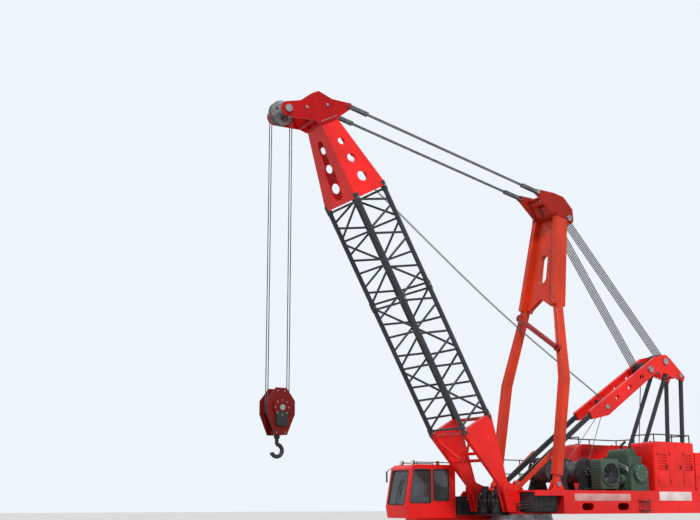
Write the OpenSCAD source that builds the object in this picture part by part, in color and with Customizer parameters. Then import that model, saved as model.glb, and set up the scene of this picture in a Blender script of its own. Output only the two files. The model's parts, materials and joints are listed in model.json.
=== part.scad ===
// Crawler crane with a lattice boom, a live mast and a gantry, in millimetres.
// The front is -Y, +X is the crane's left side and +Z is up.
// The origin is on the ground, in the middle of the outer box.

/* [Tracks] */
// Overall length of a track
track_length = 6400; // [5800:100:7200]
// Overall height of a track over its shoes
track_height = 1050; // [1000:10:1080]
// Width of a track shoe
shoe_width = 800; // [600:10:900]
// Distance between the middles of the two tracks
track_gauge = 3900; // [3700:50:4400]
// Shoe pitch along the track
shoe_pitch = 225; // [180:5:300]
// Height of a shoe's lug over the link band
shoe_thick = 45; // [30:1:60]
// Thickness of the link band
link_thick = 70; // [50:1:90]
// Number of bottom rollers in a track
roller_count = 8; // [5:1:9]

/* [Carbody] */
// Height of the carbody's underside over the ground
ground_clearance = 330; // [280:10:420]
// Height of the turret that carries the slewing ring
turret_top = 1080; // [1060:5:1120]
// Distance between the two cross beams
beam_spread = 1500; // [1300:50:2200]
// Width of a cross beam
beam_width = 420; // [300:10:560]
// Outer radius of the slewing ring
ring_radius = 880; // [800:10:900]

/* [Deck] */
// Height of the deck's underside
deck_bottom = 1300; // [1290:5:1340]
// Height of the deck's top plate
deck_top = 1950; // [1900:10:1980]
// Width of the deck and the houses
deck_width = 3200; // [3000:20:3300]
// Distance from the slewing axis to the deck's front edge
deck_front = 880; // [820:10:900]
// Distance from the slewing axis to the back of the houses
deck_rear = 5600; // [5400:50:5800]
// Radius of the counterweight's tail
tail_radius = 6950; // [6800:50:7300]
// Height of the houses' roof
house_top = 3400; // [3200:20:3500]
// Distance from the slewing axis to the left house's front
house_front = 3850; // [3800:20:4000]

/* [Boom] */
// Boom angle over the ground
boom_angle = 60.5; // [58:0.5:64]
// Width of the boom over its chords
boom_width = 1600; // [1560:10:1640]
// Depth of the boom over its chords
boom_depth = 1100; // [960:20:1160]
// Length of the foot section
foot_length = 2050; // [1900:50:2200]
// Length of one bay of lacing
bay_length = 990; // [900:10:1050]
// Diameter of a chord tube
chord_d = 130; // [110:2:150]
// Diameter of a lacing tube
lacing_d = 64; // [40:2:76]
// Distance along the boom from the foot pin to the tip sheaves
boom_length = 11850; // [11700:50:12000]
// Distance from the boom's middle line to the tip sheaves
nose_reach = 1070; // [1000:10:1150]
// Diameter of the boom's foot pins
foot_pin_d = 120; // [90:5:140]

/* [Mast and gantry] */
// Backward lean of the mast
mast_lean = 9.4; // [7:0.1:11]
// Distance from the mast's foot pin to its head
mast_length = 8700; // [8400:50:9000]
// Distance between the middles of the mast's feet
mast_spread = 2600; // [2560:10:2640]
// Distance from the slewing axis to the gantry's top
gantry_back = 5950; // [5800:50:6100]
// Height of the gantry's top shaft
gantry_height = 6100; // [5900:50:6300]

/* [Cab] */
// Width of the cab
cab_width = 1000; // [960:10:1100]
// Length of the cab
cab_length = 1750; // [1700:10:1900]
// Height of the cab's floor over the ground
cab_floor = 1180; // [1170:5:1220]
// Height of the cab's roof over the ground
cab_roof = 2680; // [2600:10:2800]
// Thickness of a cab wall
wall = 45; // [35:1:55]
// Travel of the sliding door
door_travel = 700; // [500:10:750]

/* [Hoist] */
// Radius at which a rope runs round a sheave
rope_run = 300; // [260:5:330]
// Radius at which the luffing rope runs round a sheave
luff_run = 215; // [180:5:240]
// Diameter of a rope
rope_d = 28; // [20:1:32]
// Diameter of the luffing rope
luff_rope_d = 22; // [18:1:26]
// Height of the hook block's sheaves over the ground
block_height = 3950; // [3700:50:4500]
// Core diameter of a winch drum
drum_d = 520; // [400:10:600]
// Flange diameter of a winch drum
flange_d = 840; // [760:10:880]

/* [Hidden] */
$fn = 48;
// Running gap of a piece on its seat, radial gap of a shaft, and gap between moving pieces
seat = 0.3;
fit = 0.05;
clear = 10;

red = [0.78, 0.07, 0.05];
orange = [0.80, 0.25, 0.08];
grey = [0.47, 0.48, 0.50];
dark = [0.09, 0.09, 0.10];
green = [0.25, 0.40, 0.30];
steel = [0.55, 0.56, 0.58];
glass = [0.45, 0.55, 0.60];

// Track loop
end_r = track_height / 2;
band_r = end_r - shoe_thick;
inner_r = band_r - link_thick;
half_run = track_length / 2 - end_r;
frame_gap = 190;
frame_plate = 45;
frame_half = frame_gap + frame_plate;
wheel_r = inner_r - seat;
roller_r = 125;
top_roller_r = 75;
roller_z = end_r - inner_r + seat + roller_r;
top_roller_z = end_r + inner_r - seat - top_roller_r;
roller_span = 2 * half_run - 1000;
roller_axle_r = 45;
wheel_axle_r = 70;

// Carbody and slewing ring
beam_face = beam_spread / 2 + beam_width / 2;
eye_r = 40;
eye_reach = 110;
eye_z = [520, 580];
ring_split = (turret_top + deck_bottom) / 2;

// Deck and what stands on it
deck_plate = 50;
side_plate = 45;
side_front = 150;
girder_x = 520;
girder_t = 80;
half_w = deck_width / 2;
foot_pin = [-1200, 2000];
mast_pin = [150, 2120];
gantry_foot = [-420, 2130];
gantry_x = 300;
tail_beam = [6480, 6600];
bulkheads = [side_front, 1650, 3200, deck_rear - 50];
side_slots = [1050, 2450];
lug_x = 700;
lug_t = 120;
ear_t = 70;
plate_x = 400;
plate_t = 40;

// Cab, to the right of the boom's foot
cab_x0 = -half_w - 350;
cab_x1 = cab_x0 + cab_width;
cab_y1 = -1650;
cab_y0 = cab_y1 - cab_length;
sill = cab_floor + 430;
lintel = cab_roof - 140;
door_y0 = cab_y0 + 480;
door_y1 = door_y0 + 820;
door_z0 = cab_floor + 40;
door_z1 = cab_roof - 95;
seat_y = cab_y1 - 620;
cab_beam = [cab_y1 - 1300, cab_floor - 85];

// Boom, along its own axis from the foot pin
lower_bays = 4;
upper_bays = 3;
s_lower = foot_length;
s_upper = s_lower + lower_bays * bay_length;
s_head = s_upper + upper_bays * bay_length;
s_neck = boom_length - 700;
neck_w = 2 * plate_x - plate_t;
neck_d = 560;
chord_x = (boom_width - chord_d) / 2;
chord_y = (boom_depth - chord_d) / 2;
pendant_pin = [784, boom_length - 520];

// Knees of one mast leg in X and Z, from its foot to the trunk, and half the leg's width there
mast_knees = [[mast_spread / 2, 260], [mast_spread / 2 - 40, 3050], [720, 5350]];
leg_half = [110, 125, 85];
leg_depth = 120;
trunk_top = mast_length - 500;
trunk_half = 220;

// Mast head: the pendants' pin on its horn, and the sheaves' shaft behind
mast_pendant = [-960, mast_length + 60];
mast_sheave = [400, mast_length - 370];

// Luffing sheaves of the mast and the gantry, from the first to the last
luff_pitch = 62;
luff_sheaves = [for (i = [-2.5 : 2.5]) i * luff_pitch];
luff_hub = luff_pitch / 2 - 0.5;
luff_pack = luff_sheaves[5] + luff_hub;

// Gantry: its two sheave shafts, the arms' front end, and the pin of the brace on the front leg
arm_half = 60;
g_top = [gantry_back, gantry_height];
g_second = g_top - [700, 300];
g_front = [2560, 4215];
brace_foot = -600;
brace_y = 900;
brace_pin = [brace_y, gantry_foot[1]
    + (brace_y - gantry_foot[0]) * (g_front[1] - gantry_foot[1]) / (g_front[0] - gantry_foot[0])];
leg_t = 30;
gantry_ear_t = 40;
brace_x = gantry_x + leg_t + gantry_ear_t + clear;
brace_t = 45;

// Ends of the pendants round the slewing axis
pendant_y0 = foot_pin[0] - pendant_pin[1] * cos(boom_angle) + pendant_pin[0] * sin(boom_angle);
pendant_z0 = foot_pin[1] + pendant_pin[1] * sin(boom_angle) + pendant_pin[0] * cos(boom_angle);
pendant_y1 = mast_pin[0] + mast_pendant[1] * sin(mast_lean) + mast_pendant[0] * cos(mast_lean);
pendant_z1 = mast_pin[1] + mast_pendant[1] * cos(mast_lean) - mast_pendant[0] * sin(mast_lean);

// Winch drums: distance behind the slewing axis, height
drum_z = deck_top + 560;
main_drum = [1050, drum_z];
aux_drum = [2180, drum_z];
luff_drum = [5000, drum_z];
drum_half = 400;
bearing_t = 60;

// Power unit between the left house and the winches
unit_x = [150, 1420];
unit_y = [3000, 3720];

// Sheaves of the hoist, on the boom's tip and in the block
hoist_sheaves = [-60, 60];
hoist_hub = rope_d / 2 + 24;
shaft_r = 60;

// Tip sheave in the crane's frame
tip_y = foot_pin[0] - boom_length * cos(boom_angle) - nose_reach * sin(boom_angle);
tip_z = foot_pin[1] + boom_length * sin(boom_angle) - nose_reach * cos(boom_angle);
block_half = rope_run + 90;
front_reach = block_half - tip_y;
tail_reach = sqrt(pow(tail_radius, 2) - pow(girder_x + girder_t / 2, 2));
slew_y = (front_reach - tail_reach) / 2;

// Places what is drawn round the slewing axis into the part's frame
module upper() {
    translate([0, slew_y, 0]) children();
}

// Boom frame: +Z runs up the boom and +Y points to its back
module in_boom() {
    upper() translate([0, foot_pin[0], foot_pin[1]]) rotate([90 - boom_angle, 0, 0]) children();
}

// Mast frame: +Z runs up the mast and +Y points to its back
module in_mast() {
    upper() translate([0, mast_pin[0], mast_pin[1]]) rotate([-mast_lean, 0, 0]) children();
}

// Extrudes an outline drawn in Y and Z from x0 to x1
module slab_x(x0, x1) {
    translate([x0, 0, 0]) rotate([90, 0, 90]) linear_extrude(x1 - x0) children();
}

// Round bar along X
module bar_x(x0, x1, y, z, r) {
    translate([x0, y, z]) rotate([0, 90, 0]) cylinder(r = r, h = x1 - x0);
}

module block(x, y, z) {
    translate([x[0], y[0], z[0]]) cube([x[1] - x[0], y[1] - y[0], z[1] - z[0]]);
}

module both_sides() {
    children();
    mirror([1, 0, 0]) children();
}

// Round tube between two points
module tube(p, q, r) {
    v = q - p;
    len = norm(v);
    translate(p) rotate([0, acos(v[2] / len), atan2(v[1], v[0])]) cylinder(r = r, h = len);
}

// Turned profile about the X axis
module turned_x(points) {
    rotate([0, 90, 0]) rotate_extrude() polygon(points);
}

// Rope sheave about the X axis, with a groove for the rope and a bore
module sheave(bore, run, rope, hub) {
    rim = run + 30;
    groove = run - rope / 2 - seat;
    half = rope / 2 + 14;
    lip = rope / 2 + 3;
    web = 12;
    boss = bore + 45;
    ring = groove - 50;
    difference() {
        turned_x([[bore, -hub], [boss, -hub], [boss, -web], [ring, -web], [ring, -half], [rim, -half],
            [rim, -lip], [groove, -lip], [groove, lip], [rim, lip], [rim, half], [ring, half],
            [ring, web], [boss, web], [boss, hub], [bore, hub]]);
        for (a = [0 : 60 : 300])
            rotate([a, 0, 0]) bar_x(-20, 20, (bore + groove) / 2, 0, (groove - bore) * 0.16);
    }
}

// Pair of hoist sheaves on one hub, which turns on a shaft
module hoist_pair(hub_reach) {
    for (x = hoist_sheaves) translate([x, 0, 0]) sheave(shaft_r + fit, rope_run, rope_d, hoist_hub);
    difference() {
        bar_x(-hub_reach, hub_reach, 0, 0, shaft_r + 45);
        bar_x(-hub_reach - 10, hub_reach + 10, 0, 0, shaft_r + fit);
    }
}

// Row of luffing sheaves, each free on the shaft
module luffing_pack() {
    for (x = luff_sheaves) translate([x, 0, 0]) sheave(shaft_r + seat, luff_run, luff_rope_d, luff_hub);
}

// Pieces of the tracks

module stadium(r) {
    square([2 * half_run, 2 * r], center = true);
    for (s = [-1, 1]) translate([s * half_run, 0]) circle(r);
}

// Loop of links with a shoe on each, the shoes' tips within one stadium
module track_outline() {
    run_shoes = round(2 * half_run / shoe_pitch);
    run_pitch = 2 * half_run / run_shoes;
    end_shoes = round(PI * band_r / shoe_pitch);
    foot = shoe_pitch * 0.86;
    root = 12;
    difference() {
        union() {
            stadium(band_r);
            intersection() {
                stadium(end_r);
                union() {
                    for (i = [0 : run_shoes - 1])
                        translate([-half_run + (i + 0.5) * run_pitch - foot / 2, -end_r])
                            square([foot, 2 * end_r]);
                    for (i = [0 : end_shoes - 1], s = [-1, 1])
                        translate([s * half_run, 0]) rotate(-90 * s + (i + 0.5) * 180 / end_shoes)
                            translate([band_r - root, -foot / 2]) square([shoe_thick + 2 * root, foot]);
                }
            }
        }
        stadium(inner_r);
    }
}

module track(side) {
    color(dark) upper()
        slab_x(side * track_gauge / 2 - shoe_width / 2, side * track_gauge / 2 + shoe_width / 2)
            translate([0, end_r]) track_outline();
}

function roller_y(i) = -roller_span / 2 + i * roller_span / (roller_count - 1);

module frame_outline() {
    polygon([[-half_run, 335], [-half_run + 480, 175], [half_run - 480, 175], [half_run, 335],
        [half_run, 715], [-half_run, 715]]);
    for (s = [-1, 1]) translate([s * half_run, end_r]) circle(190);
    for (s = [-1, 1]) translate([s * half_run * 0.36 - 110, 700]) square([220, 200]);
}

module track_frame(side) {
    color(red) upper() translate([side * track_gauge / 2, 0, 0]) difference() {
        union() {
            slab_x(-frame_half, -frame_gap) frame_outline();
            slab_x(frame_gap, frame_half) frame_outline();
            block([-frame_gap, frame_gap], [-half_run + wheel_r + 60, half_run - wheel_r - 60], [385, 700]);
        }
        for (i = [0 : roller_count - 1])
            bar_x(-300, 300, roller_y(i), roller_z, roller_axle_r);
        for (s = [-1, 1]) {
            bar_x(-300, 300, s * half_run, end_r, wheel_axle_r);
            bar_x(-300, 300, s * half_run * 0.36, top_roller_z, roller_axle_r);
        }
        for (y = [-1500 : 750 : 1500])
            translate([-230, y, 700]) cube([460, 320, 120], center = true);
    }
}

module roller(r) {
    a = roller_axle_r - seat;
    turned_x([[0, -frame_half], [a, -frame_half], [a, -150], [r, -150], [r, -60], [r - 30, -50],
        [r - 30, 50], [r, 60], [r, 150], [a, 150], [a, frame_half], [0, frame_half]]);
}

module end_wheel(rim_in, rim) {
    a = wheel_axle_r - seat;
    difference() {
        turned_x([[0, -frame_half - 20], [a, -frame_half - 20], [a, -frame_gap + 10], [150, -frame_gap + 10],
            [150, -45], [rim_in, -45], [rim_in, -160], [rim, -160], [rim, 160], [rim_in, 160],
            [rim_in, 45], [150, 45], [150, frame_gap - 10], [a, frame_gap - 10], [a, frame_half + 20],
            [0, frame_half + 20]]);
        for (k = [0 : 60 : 300]) rotate([k, 0, 0]) bar_x(-60, 60, (rim_in + 150) / 2, 0, 50);
    }
}

module track_wheels(side) {
    color(steel) upper() translate([side * track_gauge / 2, 0, 0]) {
        for (i = [0 : roller_count - 1])
            translate([0, roller_y(i), roller_z]) roller(roller_r);
        for (s = [-1, 1]) translate([0, s * half_run * 0.36, top_roller_z]) roller(top_roller_r);
        translate([0, -half_run, end_r]) end_wheel(wheel_r - 80, wheel_r);
        translate([0, half_run, end_r]) union() {
            end_wheel(wheel_r - 110, wheel_r - 40);
            for (k = [0 : 36 : 324]) rotate([k, 0, 0])
                translate([-70, wheel_r - 60, -38]) cube([140, 55, 76]);
        }
    }
}

module travel_drives() {
    color(dark) upper() both_sides() translate([frame_half - track_gauge / 2, half_run, end_r]) union() {
        difference() {
            bar_x(0, 120, 0, 0, 235);
            bar_x(-1, 25, 0, 0, wheel_axle_r + 10);
        }
        bar_x(120, 260, 0, 0, 190);
        block([260, 520], [-120, 120], [-110, 110]);
    }
}

// Pieces of the carbody and slewing ring

module beam_outline() {
    reach = track_gauge / 2 - frame_half;
    polygon([[-reach, 430], [-reach + 350, 430], [-750, ground_clearance], [750, ground_clearance],
        [reach - 350, 430], [reach, 430], [reach, 760], [900, 880], [-900, 880], [-reach, 760]]);
}

module carbody() {
    color(red) upper() difference() {
        union() {
            for (s = [-1, 1])
                translate([0, s * beam_spread / 2 + beam_width / 2, 0]) rotate([90, 0, 0])
                    linear_extrude(beam_width) beam_outline();
            block([-850, 850], [-beam_spread / 2, beam_spread / 2], [ground_clearance + 40, 860]);
            cylinder(r = ring_radius + 40, h = turret_top - 400 - 20);
            translate([0, 0, 640]) cylinder(r = ring_radius + 40, h = turret_top - 640);
            for (s = [-1, 1], x = [-500, 500]) tie_eye(x, s);
        }
        translate([0, 0, -1]) cylinder(r = ring_radius + 200, h = ground_clearance + 41);
        translate([0, 0, 300]) cylinder(r = 320, h = 1000);
    }
}

// Eye plate for tying down, level on a cross beam's outer face, with an upright bore
module tie_eye(x, s) {
    y = s * (beam_face + eye_reach);
    translate([x, 0, eye_z[0]]) linear_extrude(eye_z[1] - eye_z[0]) difference() {
        union() {
            translate([-90, s > 0 ? beam_face - 20 : y]) square([180, eye_reach + 20]);
            translate([0, y]) circle(90);
        }
        translate([0, y]) circle(eye_r);
    }
}

module ring(r0, r1, z0, z1) {
    upper() translate([0, 0, z0]) rotate_extrude() translate([r0, 0]) square([r1 - r0, z1 - z0]);
}

module slew_ring_lower() {
    color(steel) union() {
        ring(ring_radius - 180, ring_radius, turret_top, ring_split - 15);
        ring(ring_radius - 180, ring_radius - 60, turret_top, ring_split);
    }
}

module slew_ring_upper() {
    color(steel) ring(ring_radius - 200, ring_radius - 30, ring_split + seat, deck_bottom);
}

// Pieces of the deck

module ear(pin, r, base_z, y0, y1) {
    polygon([[y0, base_z], [y1, base_z], [pin[0] + r, pin[1]], [pin[0] - r, pin[1]]]);
    translate(pin) circle(r);
}

module deck_frame() {
    block([-half_w, half_w], [-deck_front, deck_rear], [deck_top - deck_plate, deck_top]);
    block([-1000, 1000], [-deck_front, deck_rear], [deck_bottom, deck_bottom + 40]);
    both_sides() {
        block([girder_x - girder_t / 2, girder_x + girder_t / 2], [-deck_front, tail_beam[1]],
            [deck_bottom, deck_top]);
        block([half_w - side_plate, half_w], [side_front, deck_rear], [deck_bottom, deck_top]);
        block([half_w - side_plate, half_w], [-deck_front, side_front + 1], [deck_top - 150, deck_top]);
        block([girder_x, 900], [-deck_front, -deck_front + 50], [deck_bottom, deck_top]);
    }
    for (y = bulkheads)
        block([-half_w, half_w], [y, y + 50], [deck_bottom, deck_top]);
    block([-girder_x, girder_x], tail_beam, [deck_bottom, deck_top]);
}

module deck() {
    color(red) upper() union() {
        difference() {
            deck_frame();
            for (s = [-1, 1], y = side_slots)
                slab_x(s * half_w - 60, s * half_w + 60) translate([y, deck_bottom + 200]) union() {
                    square([260, 200], center = true);
                    for (e = [-1, 1]) translate([e * 130, 0]) circle(100);
                }
        }
        both_sides() {
            boom_ear(lug_x - lug_t / 2 - clear - ear_t);
            boom_ear(lug_x + lug_t / 2 + clear);
            bar_x(lug_x - lug_t / 2 - clear - ear_t - 15, lug_x + lug_t / 2 + clear + ear_t + 15,
                foot_pin[0], foot_pin[1], foot_pin_d / 2);
            for (e = [mast_spread / 2 - 50 - clear - 50, mast_spread / 2 + 50 + clear])
                slab_x(e, e + 50) ear(mast_pin, 120, deck_top - 5, mast_pin[0] - 230, mast_pin[0] + 230);
            bar_x(mast_spread / 2 - 120, mast_spread / 2 + 120, mast_pin[0], mast_pin[1], 50);
            for (e = [gantry_x - leg_t - gantry_ear_t, gantry_x + leg_t])
                slab_x(e, e + gantry_ear_t)
                    ear(gantry_foot, 100, deck_top - 5, gantry_foot[0] - 160, gantry_foot[0] + 200);
        }
        cab_bracket();
    }
}

// Ear that holds one side of the boom's foot pin, in front of the deck
module boom_ear(x) {
    slab_x(x, x + ear_t) union() {
        polygon([[-deck_front + 20, deck_bottom + 60], [-deck_front + 20, deck_top + 110],
            [foot_pin[0] + 60, foot_pin[1] + 160], [foot_pin[0] - 150, foot_pin[1] - 60],
            [foot_pin[0] + 20, deck_bottom + 60]]);
        translate(foot_pin) circle(170);
    }
}

// Frame under the cab, reaching out from the deck's front
module cab_bracket() {
    x0 = -half_w;
    for (x = [x0, x0 + 520])
        slab_x(x, x + 40) polygon([[side_front + 1, cab_beam[1]], [side_front + 1, deck_top - 20],
            [-deck_front, deck_top - 20], [cab_y1 + 90, cab_floor], [cab_beam[0], cab_floor], cab_beam]);
    block([x0, x0 + 560], [cab_beam[0], -deck_front], [cab_beam[1], cab_floor]);
}

// Pieces of the houses

module rounded(w, h, r) {
    translate([r, 0]) square([w - 2 * r, h]);
    translate([0, r]) square([w, h - 2 * r]);
    for (x = [r, w - r], y = [r, h - r]) translate([x, y]) circle(r);
}

// Machinery house on the +X side, with rounded corners, door seams and louvres
module house(front, louvre_rows) {
    inner = 620;
    length = deck_rear - front;
    difference() {
        intersection() {
            translate([inner, front, deck_top]) linear_extrude(house_top - deck_top)
                rounded(half_w - inner, length, 90);
            slab_x(inner - 10, half_w + 10) translate([front - 1, deck_top - 200])
                rounded(length + 2, house_top - deck_top + 200, 140);
        }
        for (y = [front + length * 0.34, front + length * 0.68])
            block([half_w - 12, half_w + 20], [y - 6, y + 6], [deck_top + 90, house_top - 160]);
        for (i = [0 : louvre_rows - 1])
            block([half_w - 30, half_w + 20], [front + 130, front + length * 0.34 - 90],
                [deck_top + 620 + i * 85, deck_top + 660 + i * 85]);
        for (i = [0 : louvre_rows - 1])
            block([half_w - 30, half_w + 20], [front + length * 0.68 + 90, front + length - 130],
                [deck_top + 620 + i * 85, deck_top + 660 + i * 85]);
    }
}

module house_left() {
    color(red) upper() house(house_front, 6);
}

module house_right() {
    color(red) upper() mirror([1, 0, 0]) house(house_front - 900, 6);
}

// Stack of counterweight slabs beside each girder
module counterweights() {
    gap = 14;
    slabs = 5;
    height = 1830;
    slab = height / slabs;
    color(red) upper() both_sides() translate([0, 0, deck_bottom]) union() {
        for (i = [0 : slabs - 1]) translate([0, 0, i * slab])
            linear_extrude(slab - gap) slab_outline(0);
        translate([0, 0, 20]) linear_extrude(height - 60) slab_outline(25);
    }
}

module slab_outline(inset) {
    x0 = girder_x + girder_t / 2 + inset;
    y0 = deck_rear + 5 + inset;
    intersection() {
        translate([x0, y0]) square([half_w - inset - x0, tail_radius - y0]);
        circle(tail_radius - inset, $fn = 360);
    }
}

// Pieces of the machinery on the deck

// Engine in one block with its pumps, each pump given by its middle, radius and length
module power_unit() {
    z0 = deck_top;
    middle_y = (unit_y[0] + unit_y[1]) / 2;
    color(green) upper() union() {
        block(unit_x, unit_y, [z0, z0 + 620]);
        block([unit_x[0] + 120, unit_x[1] - 160], [unit_y[0] + 80, unit_y[1] - 80],
            [z0 + 600, z0 + 1020]);
        for (i = [0 : 5]) translate([unit_x[0] + 200 + i * 140, 0, 0])
            bar_x(0, 90, middle_y, z0 + 1040, 210);
        bar_x(unit_x[1] - 60, unit_x[1] + 90, middle_y, z0 + 520, 260);
        for (p = [[unit_x[0] + 330, 190, 190], [unit_x[1] - 330, 150, 160]])
            translate([p[0], unit_y[0], z0 + 330]) rotate([90, 0, 0]) cylinder(r = p[1], h = p[2]);
    }
}

module silencer() {
    bend_z = 1380;
    pipe_r = 40;
    color(dark) upper() translate([unit_x[0] + 180, unit_y[1] + 70, deck_top]) union() {
        cylinder(r = pipe_r, h = bend_z);
        translate([0, 0, 480]) cylinder(r = 62, h = 620);
        translate([0, 0, bend_z]) sphere(r = pipe_r);
        translate([0, 0, bend_z]) rotate([-55, 0, 0]) cylinder(r = pipe_r, h = 220);
    }
}

// Side plates that carry the winch drums
module winch_frames() {
    color(dark) upper() both_sides()
        for (d = [main_drum, aux_drum, luff_drum]) difference() {
            slab_x(drum_half + 15, drum_half + 15 + bearing_t) union() {
                polygon([[d[0] - 380, deck_top], [d[0] + 380, deck_top], [d[0] + 150, d[1] + 60],
                    [d[0] - 150, d[1] + 60]]);
                translate(d) circle(150);
            }
            bar_x(drum_half, drum_half + 200, d[0], d[1], 70);
        }
}

module drum(at) {
    core = drum_d / 2;
    rim = flange_d / 2;
    end = drum_half;
    axle = 70 - fit;
    color(steel) upper() translate([0, at[0], at[1]]) difference() {
        turned_x([[0, -end - 70], [axle, -end - 70], [axle, -end - 10], [110, -end - 10],
            [110, -end + 5], [rim, -end + 5], [rim, -end + 35], [core, -end + 35], [core, end - 35],
            [rim, end - 35], [rim, end - 5], [110, end - 5], [110, end + 10], [axle, end + 10],
            [axle, end + 70], [0, end + 70]]);
        for (k = [0 : 45 : 315], x = [-end + 20, end - 20])
            rotate([k, 0, 0]) bar_x(x - 25, x + 25, rim - 75, 0, 32);
    }
}

// Pieces of the gantry

module gantry_arm_outline() {
    polygon([[g_front[0] + 60, g_front[1] - 115], [g_front[0] - 60, g_front[1] + 115],
        [g_top[0] - 420, g_top[1] + 130], [g_top[0], g_top[1] + 220],
        [g_top[0] + 230, g_top[1] + 120], [g_top[0] + 900, g_top[1] - 440],
        [g_top[0] + 820, g_top[1] - 600], [g_top[0] + 500, g_top[1] - 480],
        [g_top[0] - 350, g_top[1] - 330], [g_front[0] + 740, g_front[1] + 35]]);
    translate(g_top) circle(220);
}

module gantry_arms() {
    color(red) upper() union() {
        both_sides() difference() {
            slab_x(gantry_x - arm_half, gantry_x + arm_half) gantry_arm_outline();
            for (t = [0.3, 0.5, 0.7]) bar_x(gantry_x - arm_half - 10, gantry_x + arm_half + 10,
                g_front[0] + 330 + t * (g_top[0] - g_front[0] - 600),
                g_front[1] + 70 + t * (g_top[1] - g_front[1] - 120), 70 + 40 * t);
        }
        bar_x(-gantry_x, gantry_x, g_top[0] + 700, g_top[1] - 420, 60);
        bar_x(-gantry_x, gantry_x, g_front[0] + 690, g_front[1] + 285, 50);
        for (p = [g_top, g_second]) {
            bar_x(-gantry_x, gantry_x, p[0], p[1], shaft_r);
            both_sides() bar_x(luff_pack + 5, gantry_x - arm_half + 10, p[0], p[1], shaft_r + 30);
        }
    }
}

// Front leg with its eye at the foot, in Y and Z
module front_leg_outline() {
    v = g_front - gantry_foot;
    translate(gantry_foot) circle(95);
    translate(gantry_foot) rotate(atan2(v[1], v[0])) translate([0, -75]) square([norm(v) + 80, 150]);
}

// Rear leg from the deck up to the arm
module rear_leg_outline(foot_y, top, w) {
    polygon([[foot_y - w / 2, deck_top], [foot_y + w / 2, deck_top], [top[0] + w / 2, top[1]],
        [top[0] - w / 2, top[1]]]);
}

module gantry_legs() {
    color(dark) upper() both_sides() {
        difference() {
            union() {
                slab_x(gantry_x - leg_t, gantry_x + leg_t) front_leg_outline();
                bar_x(gantry_x - leg_t, brace_x + brace_t + 20, brace_pin[0], brace_pin[1], 40);
            }
            slab_x(gantry_x - arm_half - 10, gantry_x + arm_half + 10) gantry_arm_outline();
        }
        difference() {
            slab_x(gantry_x - 40, gantry_x + 40) union() {
                rear_leg_outline(4150, [g_top[0] + 130, g_top[1] - 250], 120);
                rear_leg_outline((tail_beam[0] + tail_beam[1]) / 2, [g_top[0] + 760, g_top[1] - 400], 120);
            }
            slab_x(gantry_x - arm_half - 10, gantry_x + arm_half + 10) gantry_arm_outline();
        }
    }
}

// Lower brace from the deck's front edge to a pin on each front leg
module front_brace() {
    color(orange) upper() both_sides() difference() {
        slab_x(brace_x, brace_x + brace_t) union() {
            polygon([[brace_foot - 60, deck_top], [brace_foot + 140, deck_top],
                [brace_pin[0] + 40, brace_pin[1] - 70], [brace_pin[0] - 40, brace_pin[1] + 70]]);
            translate(brace_pin) circle(80);
        }
        bar_x(brace_x - 10, brace_x + brace_t + 10, brace_pin[0], brace_pin[1], 40 + seat);
    }
}

module gantry_sheaves() {
    color(steel) upper()
        for (p = [g_top, g_second]) translate([0, p[0], p[1]]) luffing_pack();
}

// Pieces of the cab

module cab_outline() {
    polygon([[cab_y0 + 60, cab_floor], [cab_y0, cab_floor + 330], [cab_y0 + 200, cab_roof - 110],
        [cab_y0 + 300, cab_roof - 20], [cab_y0 + 420, cab_roof], [cab_y1 - 110, cab_roof],
        [cab_y1 - 30, cab_roof - 30], [cab_y1, cab_roof - 110], [cab_y1, cab_floor]]);
}

// Window openings of the cab's two sides, as outlines in Y and Z
module side_window() {
    polygon([[cab_y0 + 140, sill], [cab_y0 + 290, lintel], [cab_y0 + 880, lintel], [cab_y0 + 880, sill]]);
}

module rear_side_window() {
    translate([cab_y0 + 960, sill + 60]) square([560, lintel - sill - 60]);
}

module front_window() {
    block([cab_x0 + 90, cab_x1 - 90], [cab_y0 - 50, cab_y0 + 330], [cab_floor + 380, lintel - 30]);
}

module back_window() {
    block([cab_x0 + 140, cab_x1 - 140], [cab_y1 - 100, cab_y1 + 50], [sill + 120, lintel]);
}

module cab_shell() {
    color(red) upper() union() {
        difference() {
            slab_x(cab_x0, cab_x1) cab_outline();
            slab_x(cab_x0 + wall, cab_x1 - wall) offset(delta = -wall) cab_outline();
            front_window();
            back_window();
            slab_x(cab_x1 - 2 * wall, cab_x1 + 10) union() {
                side_window();
                rear_side_window();
            }
            block([cab_x0 - 10, cab_x0 + wall + 1], [door_y0 + 50, door_y1 - 50],
                [door_z0 + 50, door_z1 - 60]);
        }
        block([cab_x0 - 60, cab_x0], [door_y0 - 30, door_y1 + door_travel], [door_z1 + seat, door_z1 + 45]);
        block([cab_x0 - 60, cab_x0], [door_y0 - 30, cab_y1], [door_z0 - 40, door_z0 - seat]);
    }
}

module door_window() {
    translate([door_y0 + 110, sill + 30]) square([door_y1 - door_y0 - 220, door_z1 - sill - 150]);
}

module cab_door() {
    x1 = cab_x0 - clear;
    color(red) upper() union() {
        difference() {
            slab_x(x1 - 40, x1) translate([door_y0, door_z0])
                rounded(door_y1 - door_y0, door_z1 - door_z0, 20);
            slab_x(x1 - 50, x1 + 10) door_window();
        }
        block([x1 - 75, x1 - 40], [door_y0 + 45, door_y0 + 75], [sill - 330, sill - 50]);
    }
}

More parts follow.
